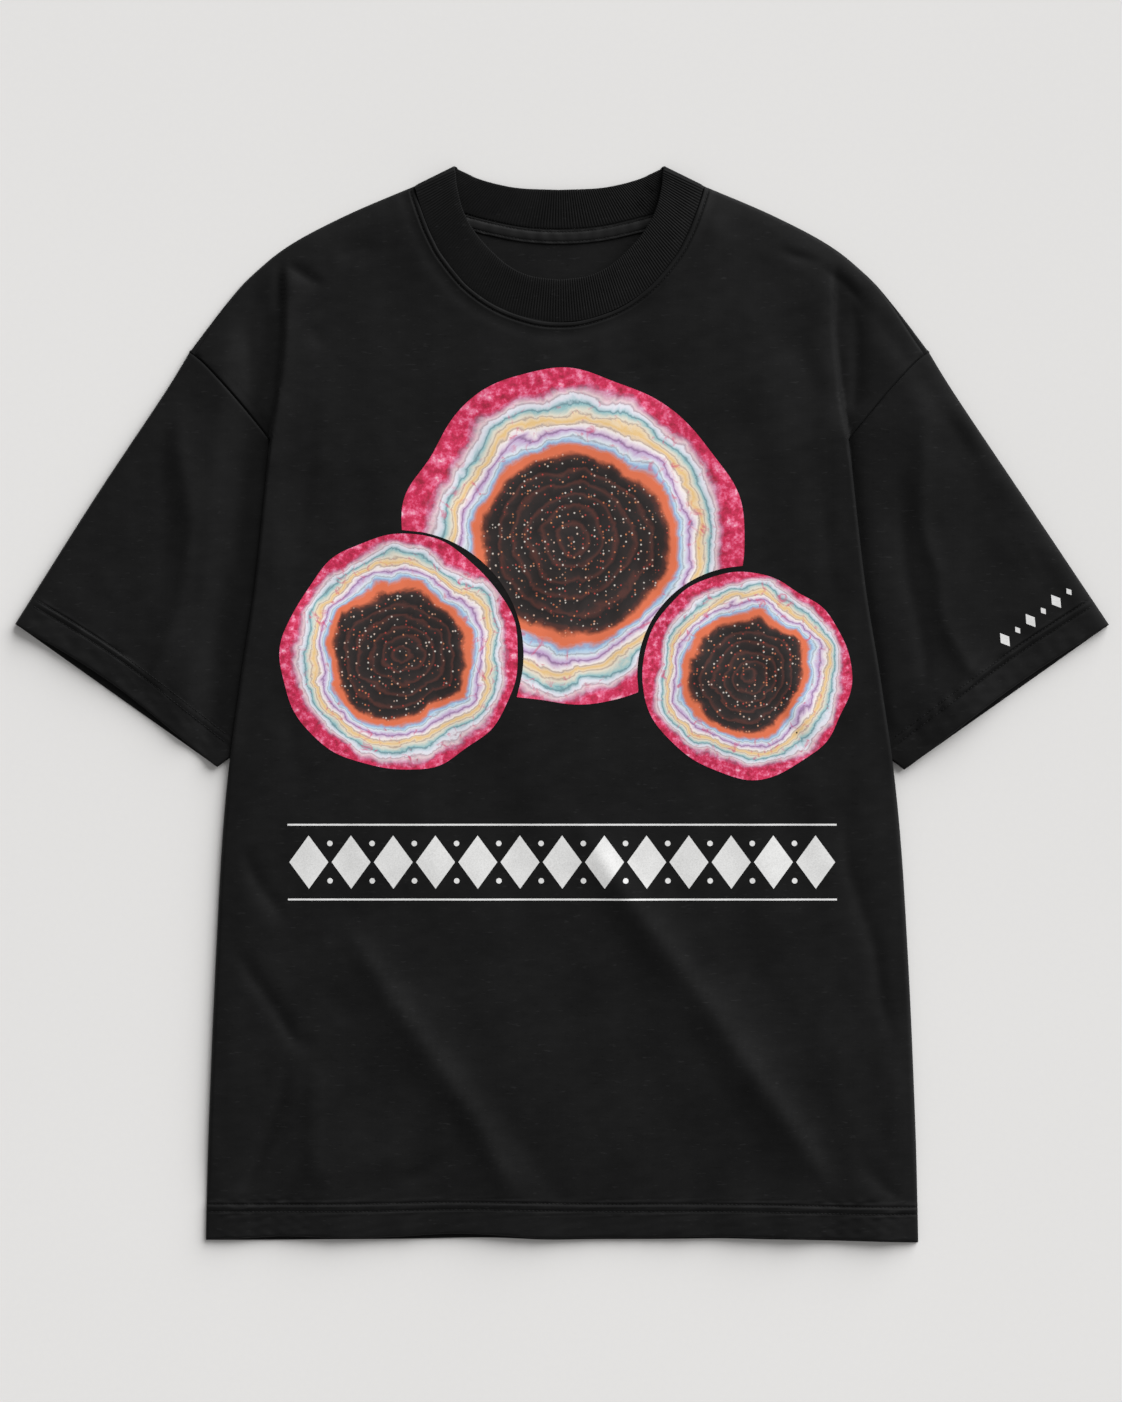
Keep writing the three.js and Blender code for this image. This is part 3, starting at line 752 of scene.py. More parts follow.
def back_cloth():
    plan = back_plan()
    x, y = plan[..., 0], plan[..., 1]
    from_hem = y - hem_edge(x, False)
    from_edge = np.minimum(*edge_distances(plan))
    from_neck = gap_to(both_halves(BACK_NECK).points, plan)
    from_armhole = gap_to(armhole_line.points, mirrored(plan))
    thickness = CLOTH + HEM_TURN * (1 - smooth((from_hem - 28) / 2))
    grooves = sum(0.3 * bell(from_hem - row, 0.7) for row in HEM_STITCHES)
    neck_seam = 0.3 * bell(from_neck, 0.8) + 0.2 * bell(from_neck - NECK_STITCHES, 0.6)
    seams = neck_seam + 0.3 * bell(from_armhole, 0.9)
    rounding = 0.45 * (1 - quarter(from_edge, 0.6))
    edge_fold = (thickness - thinned(from_hem, thickness)) / 2
    low = grooves + seams + rounding + edge_fold
    in_hem = thickness - rounding - edge_fold
    above_hem = in_hem + 0.12 * (1 + MIDDLE.at(x, y)) * smooth(from_edge / 25)
    high = np.where(from_hem < 34, in_hem, above_hem)
    panel = slab_parts(with_height(plan, high), with_height(plan, low))
    return joined_object("back_cloth", [panel, shoulder_roll(1), shoulder_roll(-1)])


def shoulder_roll(sign):
    """The back panel's top edge, which rolls up and over to the seam on the front of the shoulder."""
    travelled = spaced(0.3, ROLL_LENGTH, 1.8)
    places = shoulder_line.at(travelled / shoulder_line.length)
    normals = inward_normals(places)
    share = roll_share(travelled)
    steps = np.linspace(0, 1, 15)
    outer, inner = [], []
    for place, normal, t in zip(places, normals, share):
        angles = np.radians(mix(ROLL_START, mix(ROLL_LEAST, ROLL_MOST, t), steps))
        for target, radius in ((outer, FOLD_RADIUS), (inner, FOLD_RADIUS - CLOTH * 0.92)):
            inward = FOLD_RADIUS + radius * np.cos(angles)
            height = FOLD_RADIUS + radius * np.sin(angles)
            flat = max(SEAM_INSET - FOLD_RADIUS, 0) * t**2 - 0.12
            inward = np.append(inward, inward[-1] + max(flat, 0.02))
            height = np.append(height, height[-1] + 0.05 * t)
            spots = place + normal * inward[:, None]
            target.append(np.column_stack([spots[:, 0] * sign, spots[:, 1], height]))
    return slab_parts(np.array(outer), np.array(inner))


# ---------------------------------------------------------------- sleeves
def cuff_inward(cuff_ends):
    """Direction from a cuff's edge up the sleeve."""
    along = np.array(cuff_ends[1], float) - np.array(cuff_ends[0], float)
    return np.array([along[1], -along[0]]) / np.linalg.norm(along)


def cuff_slack(along, from_cuff, sign):
    """How far the upper layer of a cuff draws back from the lower one."""
    along = np.clip(along, 0, 1)
    return CUFF_SLACK[sign] * np.sin(np.pi * along**0.85) ** 1.5 * (1 - smooth(from_cuff / 70))


def sleeve_plan(cuff_ends):
    """A sleeve's grid of places, where x is above 0, and the lines of its armhole and cuff."""
    armhole = armhole_line.points[::-1] + np.array([ARMHOLE_OUTSET, -ARMHOLE_OUTSET])
    tuck = catmull_rom([tuple(armhole[-1]), TUCKED_END[0]], 6)
    end_line = Line(armhole, tuck, catmull_rom(TUCKED_END))
    armhole_end, tuck_end, whole = end_line.joints
    across = joined(
        np.array([0, 0.12, 0.35, 0.7, 1.15, 1.8, 2.6, 4, 6, 9, 12.5]),
        spaced(12.5, armhole_end, 3.6),
        spaced(armhole_end, tuck_end, 4),
        spaced(tuck_end, whole - 8, 4.5),
        whole - np.array([8, 5.5, 3.6, 2.4, 1.6, 1.0, 0.5, 0.15, 0]),
    )
    along = joined(
        np.array([0, 0.3, 0.75, 1.4, 2.6, 4.4, 7]),
        spaced(7, 214, 4.2),
        spaced(214, 230, 0.75),
        spaced(230, 241, 2.2),
        spaced(241, 244, 0.6),
    )
    cuff = curve(cuff_ends)
    plan = coons(
        start=end_line.at,
        end=cuff.at,
        left=curve([tuple(armhole[0]), *SLEEVE_FOLD_LINE, cuff_ends[0]]).at,
        right=curve([UNDERARM_START, cuff_ends[1]]).at,
        across=across / whole,
        along=along / along[-1],
    )
    return plan, armhole, cuff


def inner_faces(upper, lower, thickness):
    """The inner surfaces of two layers, drawn in and kept apart next to their joined edges."""
    upper_in = upper - grid_normals(upper) * thickness
    lower_in = lower + grid_normals(lower) * thickness
    middle = (upper[..., 2] + lower[..., 2]) / 2
    upper_in[..., 2] = np.maximum(upper_in[..., 2], middle + LAYER_GAP)
    lower_in[..., 2] = np.minimum(lower_in[..., 2], middle - LAYER_GAP)
    plan = lower[..., :2]
    from_top, from_underarm = edge_distances(plan)
    from_first = plan - plan[:, :1]
    from_first /= np.maximum(np.linalg.norm(from_first, axis=-1, keepdims=True), 1e-9)
    inward = np.where((from_top < from_underarm)[..., None], from_first, -from_first)
    pinch = 1 - smooth(np.minimum(from_top, from_underarm) / 2.4)
    for grid in (upper_in, lower_in):
        grid[..., :2] += inward * pinch[..., None]
    return upper_in, lower_in


def lower_sleeve(lift, from_edge, from_armhole, from_cuff, edge_fold):
    """Height of the underside of a sleeve."""
    settled = smooth(from_edge / 16)
    grooves = sum(0.25 * bell(from_cuff - row, 0.6) for row in CUFF_STITCHES) * settled
    low = lift + FOLD_RADIUS * (1 - quarter(from_edge, FOLD_RADIUS))
    return low + 0.3 * bell(from_armhole, 0.9) + grooves + edge_fold * settled


def upper_sleeve(plan, sign, folds, lift, from_top, from_underarm, from_armhole, from_cuff):
    """Height of the upper side of a sleeve."""
    x, y = plan[..., 0], plan[..., 1]
    from_edge = np.minimum(from_top, from_underarm)
    settled = smooth(from_edge / 16)
    from_fold = mix(from_folds(x, y), from_top, smooth(from_armhole / 30))
    high = tube_height(lift, from_fold, from_underarm, out_by(x, y), sign < 0)
    free = smooth(out_by(x, y) / 25) * smooth(from_armhole / 24)
    # Away from the armhole the folded edge is steeper, and the cloth inside it flatter.
    clear = free * smooth((from_armhole - 10) / 60)
    high = high + 2.1 * clear * quarter(from_edge, 2.2) * (1 - smooth((from_edge - 3) / 26))
    high = high - 1.8 * clear * smooth(from_edge / 30)
    high = high + fold_heights(folds, plan) * smooth(from_edge / 26) * free
    high = high + swells(sign * x, y, 0.34, 0.28) * settled * free
    high = high - seam_relief(from_armhole)
    high = high + hem_relief(from_cuff, CUFF_STITCHES, 0.3) * settled * CUFF_RELIEF[sign]
    high = high + 0.12 * PUCKER.at(x, y) * (1 - smooth((from_cuff - 25) / 5)) * settled
    high = high - 1.1 * (1 - quarter(from_cuff + 0.1, EDGE_ROUND)) * settled
    place, height, width = SLEEVE_SWELL[sign]
    return high + height * bell(np.linalg.norm(plan - np.array(place), axis=-1), width) * settled


def sleeve_cloth(name, sign, cuff_ends, folds):
    plan, armhole, cuff = sleeve_plan(cuff_ends)
    from_top, from_underarm = edge_distances(plan)
    from_edge = np.minimum(from_top, from_underarm)
    from_cuff, from_armhole = gap_to(cuff.points, plan), gap_to(armhole, plan)
    thickness = CLOTH + HEM_TURN * (1 - smooth((from_cuff - CUFF_STITCHES[1] - 1) / 2))
    edge_fold = (thickness - thinned(from_cuff, thickness)) / 2
    lift = sleeve_lift(plan[..., 0], plan[..., 1], from_top)
    low = lower_sleeve(lift, from_edge, from_armhole, from_cuff, edge_fold)
    high = upper_sleeve(plan, sign, folds, lift, from_top, from_underarm, from_armhole, from_cuff)
    high = high - edge_fold

    # The upper layer of the cuff draws back a little from the lower one.
    slack = cuff_slack(from_top / cuff.length, from_cuff, sign)
    upper_plan = plan + cuff_inward(cuff_ends) * slack[..., None]

    # The upper layer's sewn edge runs on under the body's.
    beside_armhole = plan @ ALONG_ARMHOLE > np.array(ARMHOLE_FOOT) @ ALONG_ARMHOLE
    under = (1 - smooth(from_armhole / 0.25)) * beside_armhole
    dropped = (1 - smooth((from_armhole - 0.35) / 0.35)) * beside_armhole
    upper_plan = upper_plan + UNDER_BODY * (1.7 * under)[..., None]
    high = high - np.minimum(1.25, 0.3 * (high - low)) * dropped

    upper, lower = with_height(upper_plan, high), with_height(plan, low)
    upper_in, lower_in = inner_faces(upper, lower, thinned(from_cuff, thickness)[..., None])
    # Out over the upper layer and back over the lower one, without the two edges again.
    way_back = slice(-2, 0, -1)
    outer = np.concatenate([upper, lower[:, way_back]], axis=1)
    inner = np.concatenate([upper_in, lower_in[:, way_back]], axis=1)
    outer[:, 0, 2] = (upper[:, 0, 2] + lower[:, 0, 2]) / 2
    for grid in (outer, inner):
        grid[..., 0] *= sign
    return upright(mesh_object(name, *tube_parts(outer, inner)))


# ---------------------------------------------------------------- rib collar and neck tape
def rib_curves():
    """The band's edges from the middle of the front to the fold and from there to the middle of
    the back: inner and outer in front, inner and outer behind."""
    seam = curve(NECK_SEAM[::-1]).points
    seam = Line(seam + inward_normals(seam) * RIB_SEAM_GAP)
    front_outer = Line(seam.part(0, seam.length - RIB_FOLD_BACK))
    fold_point = tuple(front_outer.points[-1])
    back_outer = curve([fold_point] + [(x, y + RIB_SEAM_GAP) for x, y in BACK_NECK[1:]])
    return curve(RIB_FRONT_INNER), front_outer, curve(RIB_BACK_INNER), back_outer


def rib_strips():
    """The middle surface of the folded band, once round the neck: its inner and outer edge in 3D."""
    front_inner, front_outer, back_inner, back_outer = rib_curves()
    radius = (RIB_FOLD_MID - RIB_HALF) / 2
    fold_inner, fold_outer = front_inner.at(1.0), front_outer.at(1.0)
    direction = (fold_inner - fold_outer) / np.linalg.norm(fold_inner - fold_outer)
    outward = np.array([direction[1], -direction[0]])
    mean_front = (front_inner.length + front_outer.length) / 2
    mean_back = (back_inner.length + back_outer.length) / 2
    step = RIB_PITCH / RIB_STATIONS
    inner, outer = [], []
    for t in np.linspace(0, 1, int(mean_front / step), endpoint=False):
        place = front_inner.at(t)
        along = np.linalg.norm(place - fold_inner)
        z = mix(RIB_FOLD_MID, RIB_FRONT_MID, rise(along, RIB_RISE))
        inner.append((*place, z + RIB_TILT * smooth(along / FRONT_TILT_RUN)))
        outer.append((*front_outer.at(t), z))
    for angle in np.linspace(0, math.pi, int(math.pi * radius / step)):
        shift = outward * (radius * math.sin(angle))
        z = RIB_HALF + radius * (1 + math.cos(angle))
        place = mix(fold_inner, back_inner.at(0.0), smooth(angle / math.pi))
        inner.append((*(place + shift), z))
        outer.append((*(fold_outer + shift), z))
    for t in np.linspace(0, 1, int(mean_back / step))[1:]:
        place = back_inner.at(t)
        along = np.linalg.norm(place - fold_inner)
        inner.append((*place, RIB_HALF + RIB_TILT * smooth(along / BACK_TILT_RUN)))
        outer.append((*back_outer.at(t), RIB_HALF))
    flip = np.array([-1, 1, 1])
    other_half = slice(-2, 0, -1)
    return [np.vstack([edge, np.array(edge)[other_half] * flip]) for edge in (inner, outer)]


def rib_section():
    """Once round the band's section, from its folded edge over the outside to the sewn edge and
    back: how far in each point lies, and how high, as a share of half the band's thickness."""
    turn = np.radians(np.array([180, 150, 120, 100]))
    edge_in = RIB_HALF * (1 + np.cos(turn))
    out_in = RIB_SECTION * np.array([0.1, 0.2, 0.32, 0.44, 0.56, 0.68, 0.8, 0.9, 0.965, 1.0])
    out_up = np.array([1.02, 1.08, 1.12, 1.14, 1.14, 1.12, 1.06, 0.98, 0.8, 0.45])
    back_up = np.array([-0.45, -1, -1, -1, -1])
    section_in = np.concatenate([edge_in, out_in, out_in[::-2], edge_in[:0:-1]])
    section_up = np.concatenate([np.sin(turn), out_up, back_up, -np.sin(turn)[:0:-1]])
    return section_in, section_up


def rib_collar():
    inner, outer = rib_strips()
    middle = (inner + outer) / 2
    step = np.roll(middle, -1, axis=0) - np.roll(middle, 1, axis=0)
    normal = np.cross(step, outer - inner)
    normal /= np.linalg.norm(normal, axis=1, keepdims=True)
    gaps = np.linalg.norm(np.roll(middle, -1, axis=0) - middle, axis=1)
    travelled = np.concatenate([[0], np.cumsum(gaps)[:-1]])
    ribs = round(gaps.sum() / RIB_PITCH)
    groove = bell((travelled / gaps.sum() * ribs) % 1 - 0.5, 0.17)

    section_in, section_up = rib_section()
    depth = groove[:, None] * np.where(np.abs(section_up) > 0.3, 1, 0.35)
    depth = depth * smooth((RIB_SECTION - section_in) / 2.2)
    lift = RIB_HALF * section_up - np.sign(section_up) * RIB_GROOVE * depth
    share = np.clip(section_in / RIB_SECTION, 0, 1)
    points = inner[:, None] + (outer - inner)[:, None] * share[:, None]
    points = points + normal[:, None] * lift[..., None]

    height = points[..., 2]
    dented = height + fold_heights(BACK_RIB_DENTS, points[..., :2])
    height = np.where((height > 1.2) & (height < 2.6), dented, height)
    points[..., 2] = np.maximum(height, 0)
    stations, columns = points.shape[:2]
    faces = grid_faces(stations + 1, columns, wrap=True) % (stations * columns)
    return upright(mesh_object("rib_collar", points.reshape(-1, 3), faces.tolist(), sharp=75))


def neck_tape():
    seam = both_halves(BACK_NECK)
    ends = 14 / seam.length
    line = seam.at(spaced(ends, 1 - ends, 1.4 / seam.length))
    down = -inward_normals(line)
    if down[len(down) // 2][1] > 0:
        down = -down
    rows = np.array(
        [0.7, 0.85, 1.1, 1.6, 2.1, 2.8, 4.4, 6.4, 8, 8.7, 9.2, 9.7, 10.3, 10.8, 11.05, TAPE_WIDTH]
    )
    plan = line[None] + down[None] * rows[:, None, None]
    edge = np.minimum(rows - rows[0], TAPE_WIDTH - rows)
    crown = 1.05 * quarter(edge, 0.4) + 0.5 * smooth(edge / 4)
    stitched = 0.45 * sum(bell(rows - row, 0.5) for row in TAPE_STITCHES)
    wave = 0.12 * PUCKER.at(plan[..., 0] * 1.3, plan[..., 1])
    high = 1.38 + (crown - stitched)[:, None] + wave * smooth(edge / 1.5)[:, None]
    low = np.full(high.shape, 1.32)
    made = mesh_object("back_neck_tape", *slab_parts(with_height(plan, high), with_height(plan, low)))
    stitch_rows = [int(np.argmin(np.abs(rows - row))) for row in TAPE_STITCHES]
    return upright(made), [with_height(plan[i], high[i] + 0.1) for i in stitch_rows]


# ---------------------------------------------------------------- thread
# A stitch's rings, end to end: place as a share of half its length, and share of its full girth.
STITCH_RINGS = ((-1, 0.25), (-0.8, 0.75), (-0.35, 1), (0.35, 1), (0.8, 0.75), (1, 0.25))
STITCH_SIDES = 6
STITCH_BOW = 0.12
RUN_MARGIN = 0.4  # from the end of a run to its first stitch


def stitch_points(start, end, length, radius):
    """The points of one stitch, which bows up a little in the middle."""
    axis = end - start
    axis /= np.linalg.norm(axis)
    sideways = np.cross(axis, (0, 0, 1))
    sideways /= np.linalg.norm(sideways)
    upward = np.cross(sideways, axis)
    angle = np.arange(STITCH_SIDES)[:, None] * math.tau / STITCH_SIDES
    around = np.cos(angle) * sideways + np.sin(angle) * upward
    rings = []
    for ring, girth in STITCH_RINGS:
        middle = (start + end) / 2 + axis * ring * length / 2 + upward * (STITCH_BOW * (1 - ring**2))
        rings.append(middle + around * radius * girth)
    return np.vstack(rings)


def thread(name, runs, length, gap, radius):
    """Separate stitches along each run of points, half sunk in the cloth."""
    first_end = list(range(STITCH_SIDES))
    last_end = [(len(STITCH_RINGS) - 1) * STITCH_SIDES + i for i in first_end]
    sides = grid_faces(len(STITCH_RINGS), STITCH_SIDES, wrap=True).tolist()
    faces = [*sides, first_end[::-1], last_end]
    pieces = []
    for run in runs:
        line = Line(run)
        starts = np.arange(RUN_MARGIN, line.length - length, length + gap)
        for start, end in zip(line.at(starts / line.length), line.at((starts + length) / line.length)):
            pieces.append((stitch_points(start, end, length, radius), faces))
    return joined_object(name, pieces, sharp=None)


class Surface:
    """The height of a cloth from above or, for its underside, from below."""

    def __init__(self, made, from_below=False):
        mesh = made.data
        points = [v.co.copy() for v in mesh.vertices]
        self.tree = BVHTree.FromPolygons(points, [tuple(p.vertices) for p in mesh.polygons])
        self.start = -0.01 if from_below else 0.05
        self.way = Vector((0, 0, 1 if from_below else -1))

    def over(self, plan, above=0.0):
        """3D points, in mm, on the surface at the plan's x and y, or None for those that miss it."""
        out = []
        for x, y in plan:
            hit = self.tree.ray_cast(Vector((x * METRE, y * METRE, self.start)), self.way)[0]
            out.append((x, y, hit.z / METRE + above) if hit else None)
        return out


def run_over(surface, plan, above):
    return np.array([p for p in surface.over(plan, above) if p])


def shifted(points, distance):
    """A line moved to its right-hand side."""
    return points - inward_normals(points) * distance


# ---------------------------------------------------------------- the print
# Ink lies as a thin film on the cloth, cut to an outline and laid over it.
INK = 0.09
INK_LIFT = 0.05  # from the cloth to the film's underside
FILM_STEP = 3.0


def film_parts(outline, surface):
    """Points and faces of a closed thin film over the cloth, inside an outline."""
    low, high = outline.min(axis=0), outline.max(axis=0)
    inner = [np.zeros((0, 2))]
    for i, y in enumerate(np.arange(low[1] + FILM_STEP / 2, high[1], FILM_STEP * 0.87)):
        x = np.arange(low[0] + (i % 2) * FILM_STEP / 2, high[0], FILM_STEP)
        inner.append(np.stack([x, np.full_like(x, y)], axis=-1))
    inner = np.vstack(inner)
    closed = np.vstack([outline, outline[:1]])
    inner = inner[gap_to(closed, inner) > FILM_STEP * 0.45]
    points = [Vector(p) for p in np.vstack([outline, inner]).tolist()]
    cut = delaunay_2d_cdt(points, [], [list(range(len(outline)))], 1, 1e-6)
    flat, cells = cut[0], cut[2]
    base = surface.over([(p.x, p.y) for p in flat])
    if any(p is None for p in base):
        return None
    base = np.array(base)
    raised = base + np.array([0, 0, INK_LIFT + INK])
    faces = [tuple(c) for c in cells] + [tuple(i + len(base) for i in reversed(c)) for c in cells]
    edges = dict.fromkeys(pair for cell in cells for pair in zip(cell, [*cell[1:], cell[0]]))
    rim = [(a, b) for a, b in edges if (b, a) not in edges]
    faces += [(b, a, a + len(base), b + len(base)) for a, b in rim]
    return np.vstack([raised, base + np.array([0, 0, INK_LIFT])]), faces


def film(name, surface, outlines):
    """Films over those of the outlines that lie wholly on the surface."""
    pieces = [film_parts(outline, surface) for outline in outlines]
    return joined_object(name, [parts for parts in pieces if parts])


OUTLINE_STEP = 2.5


def polygon(corners):
    """A straight-sided outline with points along each side."""
    out = []
    for a, b in zip(corners, [*corners[1:], corners[0]]):
        a, b = np.array(a, float), np.array(b, float)
        count = max(1, int(np.linalg.norm(b - a) / OUTLINE_STEP))
        out.extend(a + (b - a) * i / count for i in range(count))
    return np.array(out)


def lozenge(centre, along, up):
    """Corners half an `along` and an `up` away from the centre."""
    centre, along, up = (np.array(v, float) for v in (centre, along, up))
    return polygon([centre - up, centre + along, centre + up, centre - along])


def bar(x0, y0, x1, y1):
    return polygon([(x0, y0), (x1, y0), (x1, y1), (x0, y1)])


def dot(centre, radius):
    angle = np.arange(16) * math.tau / 16
    return np.stack([centre[0] + radius * np.cos(angle), centre[1] + radius * np.sin(angle)], axis=-1)


def uneven_disc(centre, radius, seed, nearer=()):
    """A slightly uneven circle, cut back where nearer discs lie in front of it."""
    count = 720 if nearer else 360
    angle = np.arange(count) * math.tau / count
    chance = np.random.default_rng(seed)
    wobble = np.zeros_like(angle)
    for k in range(2, 15):
        wobble += chance.normal(0, 0.028 / k**0.9) * np.cos(k * angle + chance.uniform(0, math.tau))
    reach = radius * (1 + wobble)
    way = np.stack([np.cos(angle), np.sin(angle)], axis=-1)
    for other, size in nearer:
        offset = np.array(other) - np.array(centre)
        along = way @ offset
        half_chord = size**2 - offset @ offset + along**2
        hit = along - np.sqrt(np.maximum(half_chord, 0))
        reach = np.where((half_chord > 0) & (along > 0), np.minimum(reach, hit), reach)
    return np.array(centre) + way * reach[:, None]


DISCS = [
    # name, centre, radius, seed
    ("print_disc_back", (8, 124), 126, 4),
    ("print_disc_left", (-120, 38), 88, 9),
    ("print_disc_right", (139, 22), 77, 17),
]
DISC_MARGIN = 4.5
BAND_LEFT, BAND_RIGHT = -205, 206
BAND_MIDDLE = -118
BAND_LOZENGES = 13
LOZENGE_HALF_HEIGHT = 20
RULE_OFFSET = 28
RULE_HALF = 0.7
DOT_OFFSET = 14
DOT_RADIUS = 2.1
SLEEVE_ROW = ((329.0, 45.5), (384.5, 87.0))  # where the row starts, and a place further along it
ROW_PITCH = 12
LARGE_LOZENGE, SMALL_LOZENGE = (6.2, 3.9), (3.2, 2.2)  # half height and half width


def border_outlines():
    """An off-white border under the discs: lozenges and dots between two thin rules."""
    outlines = []
    for y in (BAND_MIDDLE - RULE_OFFSET, BAND_MIDDLE + RULE_OFFSET):
        outlines.append(bar(BAND_LEFT, y - RULE_HALF, BAND_RIGHT, y + RULE_HALF))
    pitch = (BAND_RIGHT - BAND_LEFT) / BAND_LOZENGES
    for i in range(BAND_LOZENGES):
        centre = (BAND_LEFT + (i + 0.5) * pitch, BAND_MIDDLE)
        outlines.append(lozenge(centre, (pitch / 2 - 1.2, 0), (0, LOZENGE_HALF_HEIGHT)))
    for i in range(1, BAND_LOZENGES):
        for side in (1, -1):
            outlines.append(dot((BAND_LEFT + i * pitch, BAND_MIDDLE + side * DOT_OFFSET), DOT_RADIUS))
    return outlines


def sleeve_row_outlines():
    """A short row of lozenges along the left sleeve's cuff."""
    start, end = np.array(SLEEVE_ROW[0]), np.array(SLEEVE_ROW[1])
    along = (end - start) / np.linalg.norm(end - start)
    up = np.array([-along[1], along[0]])
    outlines = []
    for i in range(6):
        tall, wide = LARGE_LOZENGE if i % 2 == 0 else SMALL_LOZENGE
        outlines.append(lozenge(start + along * (5 + i * ROW_PITCH), along * wide, up * tall))
    return outlines


# ---------------------------------------------------------------- materials
class Nodes:
    """Short calls for building one material's node tree. Where one takes a value, that is a
    constant or another node's output."""

    def __init__(self, name):
        self.material = bpy.data.materials.new(name)
        self.material.use_nodes = True
        self.tree = self.material.node_tree
        self.shader = self.tree.nodes["Principled BSDF"]
        self.place = self.add("ShaderNodeTexCoord").outputs["Object"]

    def put(self, socket, value):
        if hasattr(value, "links"):
            self.tree.links.new(value, socket)
        elif socket.type == "RGBA" and len(value) == 3:
            socket.default_value = (*value, 1)
        else:
            socket.default_value = value

    def add(self, kind, inputs=None, **settings):
        """A new node, with values for some of its inputs by name or number."""
        node = self.tree.nodes.new(kind)
        for key, value in settings.items():
            setattr(node, key, value)
        for key, value in (inputs or {}).items():
            self.put(node.inputs[key], value)
        return node

    def set(self, **values):
        """The shader's own sockets, with _ for a space in their names."""
        for key, value in values.items():
            self.put(self.shader.inputs[key.replace("_", " ")], value)

    def scaled(self, scale=(1, 1, 1), rotation=(0, 0, 0)):
        inputs = {"Vector": self.place, "Scale": scale, "Rotation": rotation}
        return self.add("ShaderNodeMapping", inputs).outputs["Vector"]

    def noise(self, vector, scale, detail=3, roughness=0.55, distortion=0.0):
        inputs = {"Vector": vector, "Scale": scale, "Detail": detail}
        inputs |= {"Roughness": roughness, "Distortion": distortion}
        return self.add("ShaderNodeTexNoise", inputs).outputs["Fac"]

    def wave(self, vector, scale, direction="X", distortion=0.0):
        inputs = {"Vector": vector, "Scale": scale, "Distortion": distortion}
        return self.add("ShaderNodeTexWave", inputs, bands_direction=direction).outputs["Fac"]

    def math(self, operation, *values):
        return self.add("ShaderNodeMath", dict(enumerate(values)), operation=operation).outputs[0]

    def weighted(self, *terms):
        """The sum of values times their weights."""
        parts = [self.math("MULTIPLY", value, weight) for value, weight in terms]
        total = parts[0]
        for part in parts[1:]:
            total = self.math("ADD", total, part)
        return total

    def repeats(self, value, count):
        """Goes from 0 to 1 `count` times while the value does so once."""
        return self.math("FRACT", self.math("MULTIPLY", value, count))

    def weave(self):
        """The cloth's fine grain, which shows through ink."""
        return self.noise(self.scaled((1, 2, 1)), 1500, 2, 0.6)

    def ramp(self, factor, stops):
        node = self.add("ShaderNodeValToRGB", {"Fac": factor})
        elements = node.color_ramp.elements
        while len(elements) < len(stops):
            elements.new(0.5)
        for element, (position, colour) in zip(elements, stops):
            element.position = position
            element.color = (*colour, 1)
        return node.outputs["Color"]

    def range(self, value, low, high, new_low, new_high):
        inputs = {"Value": value, "From Min": low, "From Max": high, "To Min": new_low, "To Max": new_high}
        return self.add("ShaderNodeMapRange", inputs).outputs["Result"]

    def blend(self, factor, a, b, how="MIX"):
        inputs = {0: factor, 6: a, 7: b}
        return self.add("ShaderNodeMix", inputs, data_type="RGBA", blend_type=how).outputs[2]

    def bump(self, height, strength, distance):
        inputs = {"Height": height, "Strength": strength, "Distance": distance}
        self.set(Normal=self.add("ShaderNodeBump", inputs).outputs["Normal"])


PALE_FIBRE = (0.04, 0.04, 0.041)
# Painted shade: the near-black given to random specks, for the shaded gaps between a knit's loops.
GAP_SHADE = (0.0012, 0.0012, 0.0012)


def knit_material(name, dark, light, wale, course, sheen, gloss):
    """Black knit: loops, cloudy dye, pale fibres and specks of painted shade for gaps between loops.
    The higher `wale` and `course` are, the further apart the loops' columns and rows lie."""
    n = Nodes(name)
    metres = n.scaled()
    cloud = n.noise(metres, 24, 4, 0.62)
    streaks = n.noise(n.scaled((0.45, 1, 1)), 150, 3, 0.6)
    grain = n.noise(n.scaled((1, 2.2, 1)), 620, 3, 0.7)
    tone = n.weighted((cloud, 0.42), (streaks, 0.33), (grain, 0.25))
    specks = n.noise(n.scaled((0.32, 1.5, 1)), 420, 2, 0.5)
    base = n.ramp(tone, [(0.36, dark), (0.64, light)])
    colour = n.blend(n.range(specks, 0.65, 0.76, 0, 0.2), base, PALE_FIBRE)
    # A few random specks turn towards painted shade, for the gaps between the loops.
    colour = n.blend(n.range(specks, 0.34, 0.25, 0, 0.7), colour, GAP_SHADE)
    columns = n.wave(metres, 500 / (wale * math.tau), "X", 0.3)
    rows = n.wave(metres, 500 / (course * math.tau), "Y", 0.6)
    loops = n.math("MULTIPLY", columns, n.math("ADD", n.math("MULTIPLY", rows, 0.5), 0.5))
    fuzz = n.noise(metres, 1500, 2, 0.6)
    n.bump(n.math("ADD", n.math("MULTIPLY", loops, 0.35), fuzz), 0.3, 0.00012)
    n.set(
        Base_Color=colour,
        Roughness=n.range(grain, 0.3, 0.7, gloss, gloss + 0.14),
        Specular_IOR_Level=0.13,
        Sheen_Weight=sheen,
        Sheen_Roughness=0.5,
        Sheen_Tint=(0.75, 0.76, 0.78, 1),
    )
    return n.material


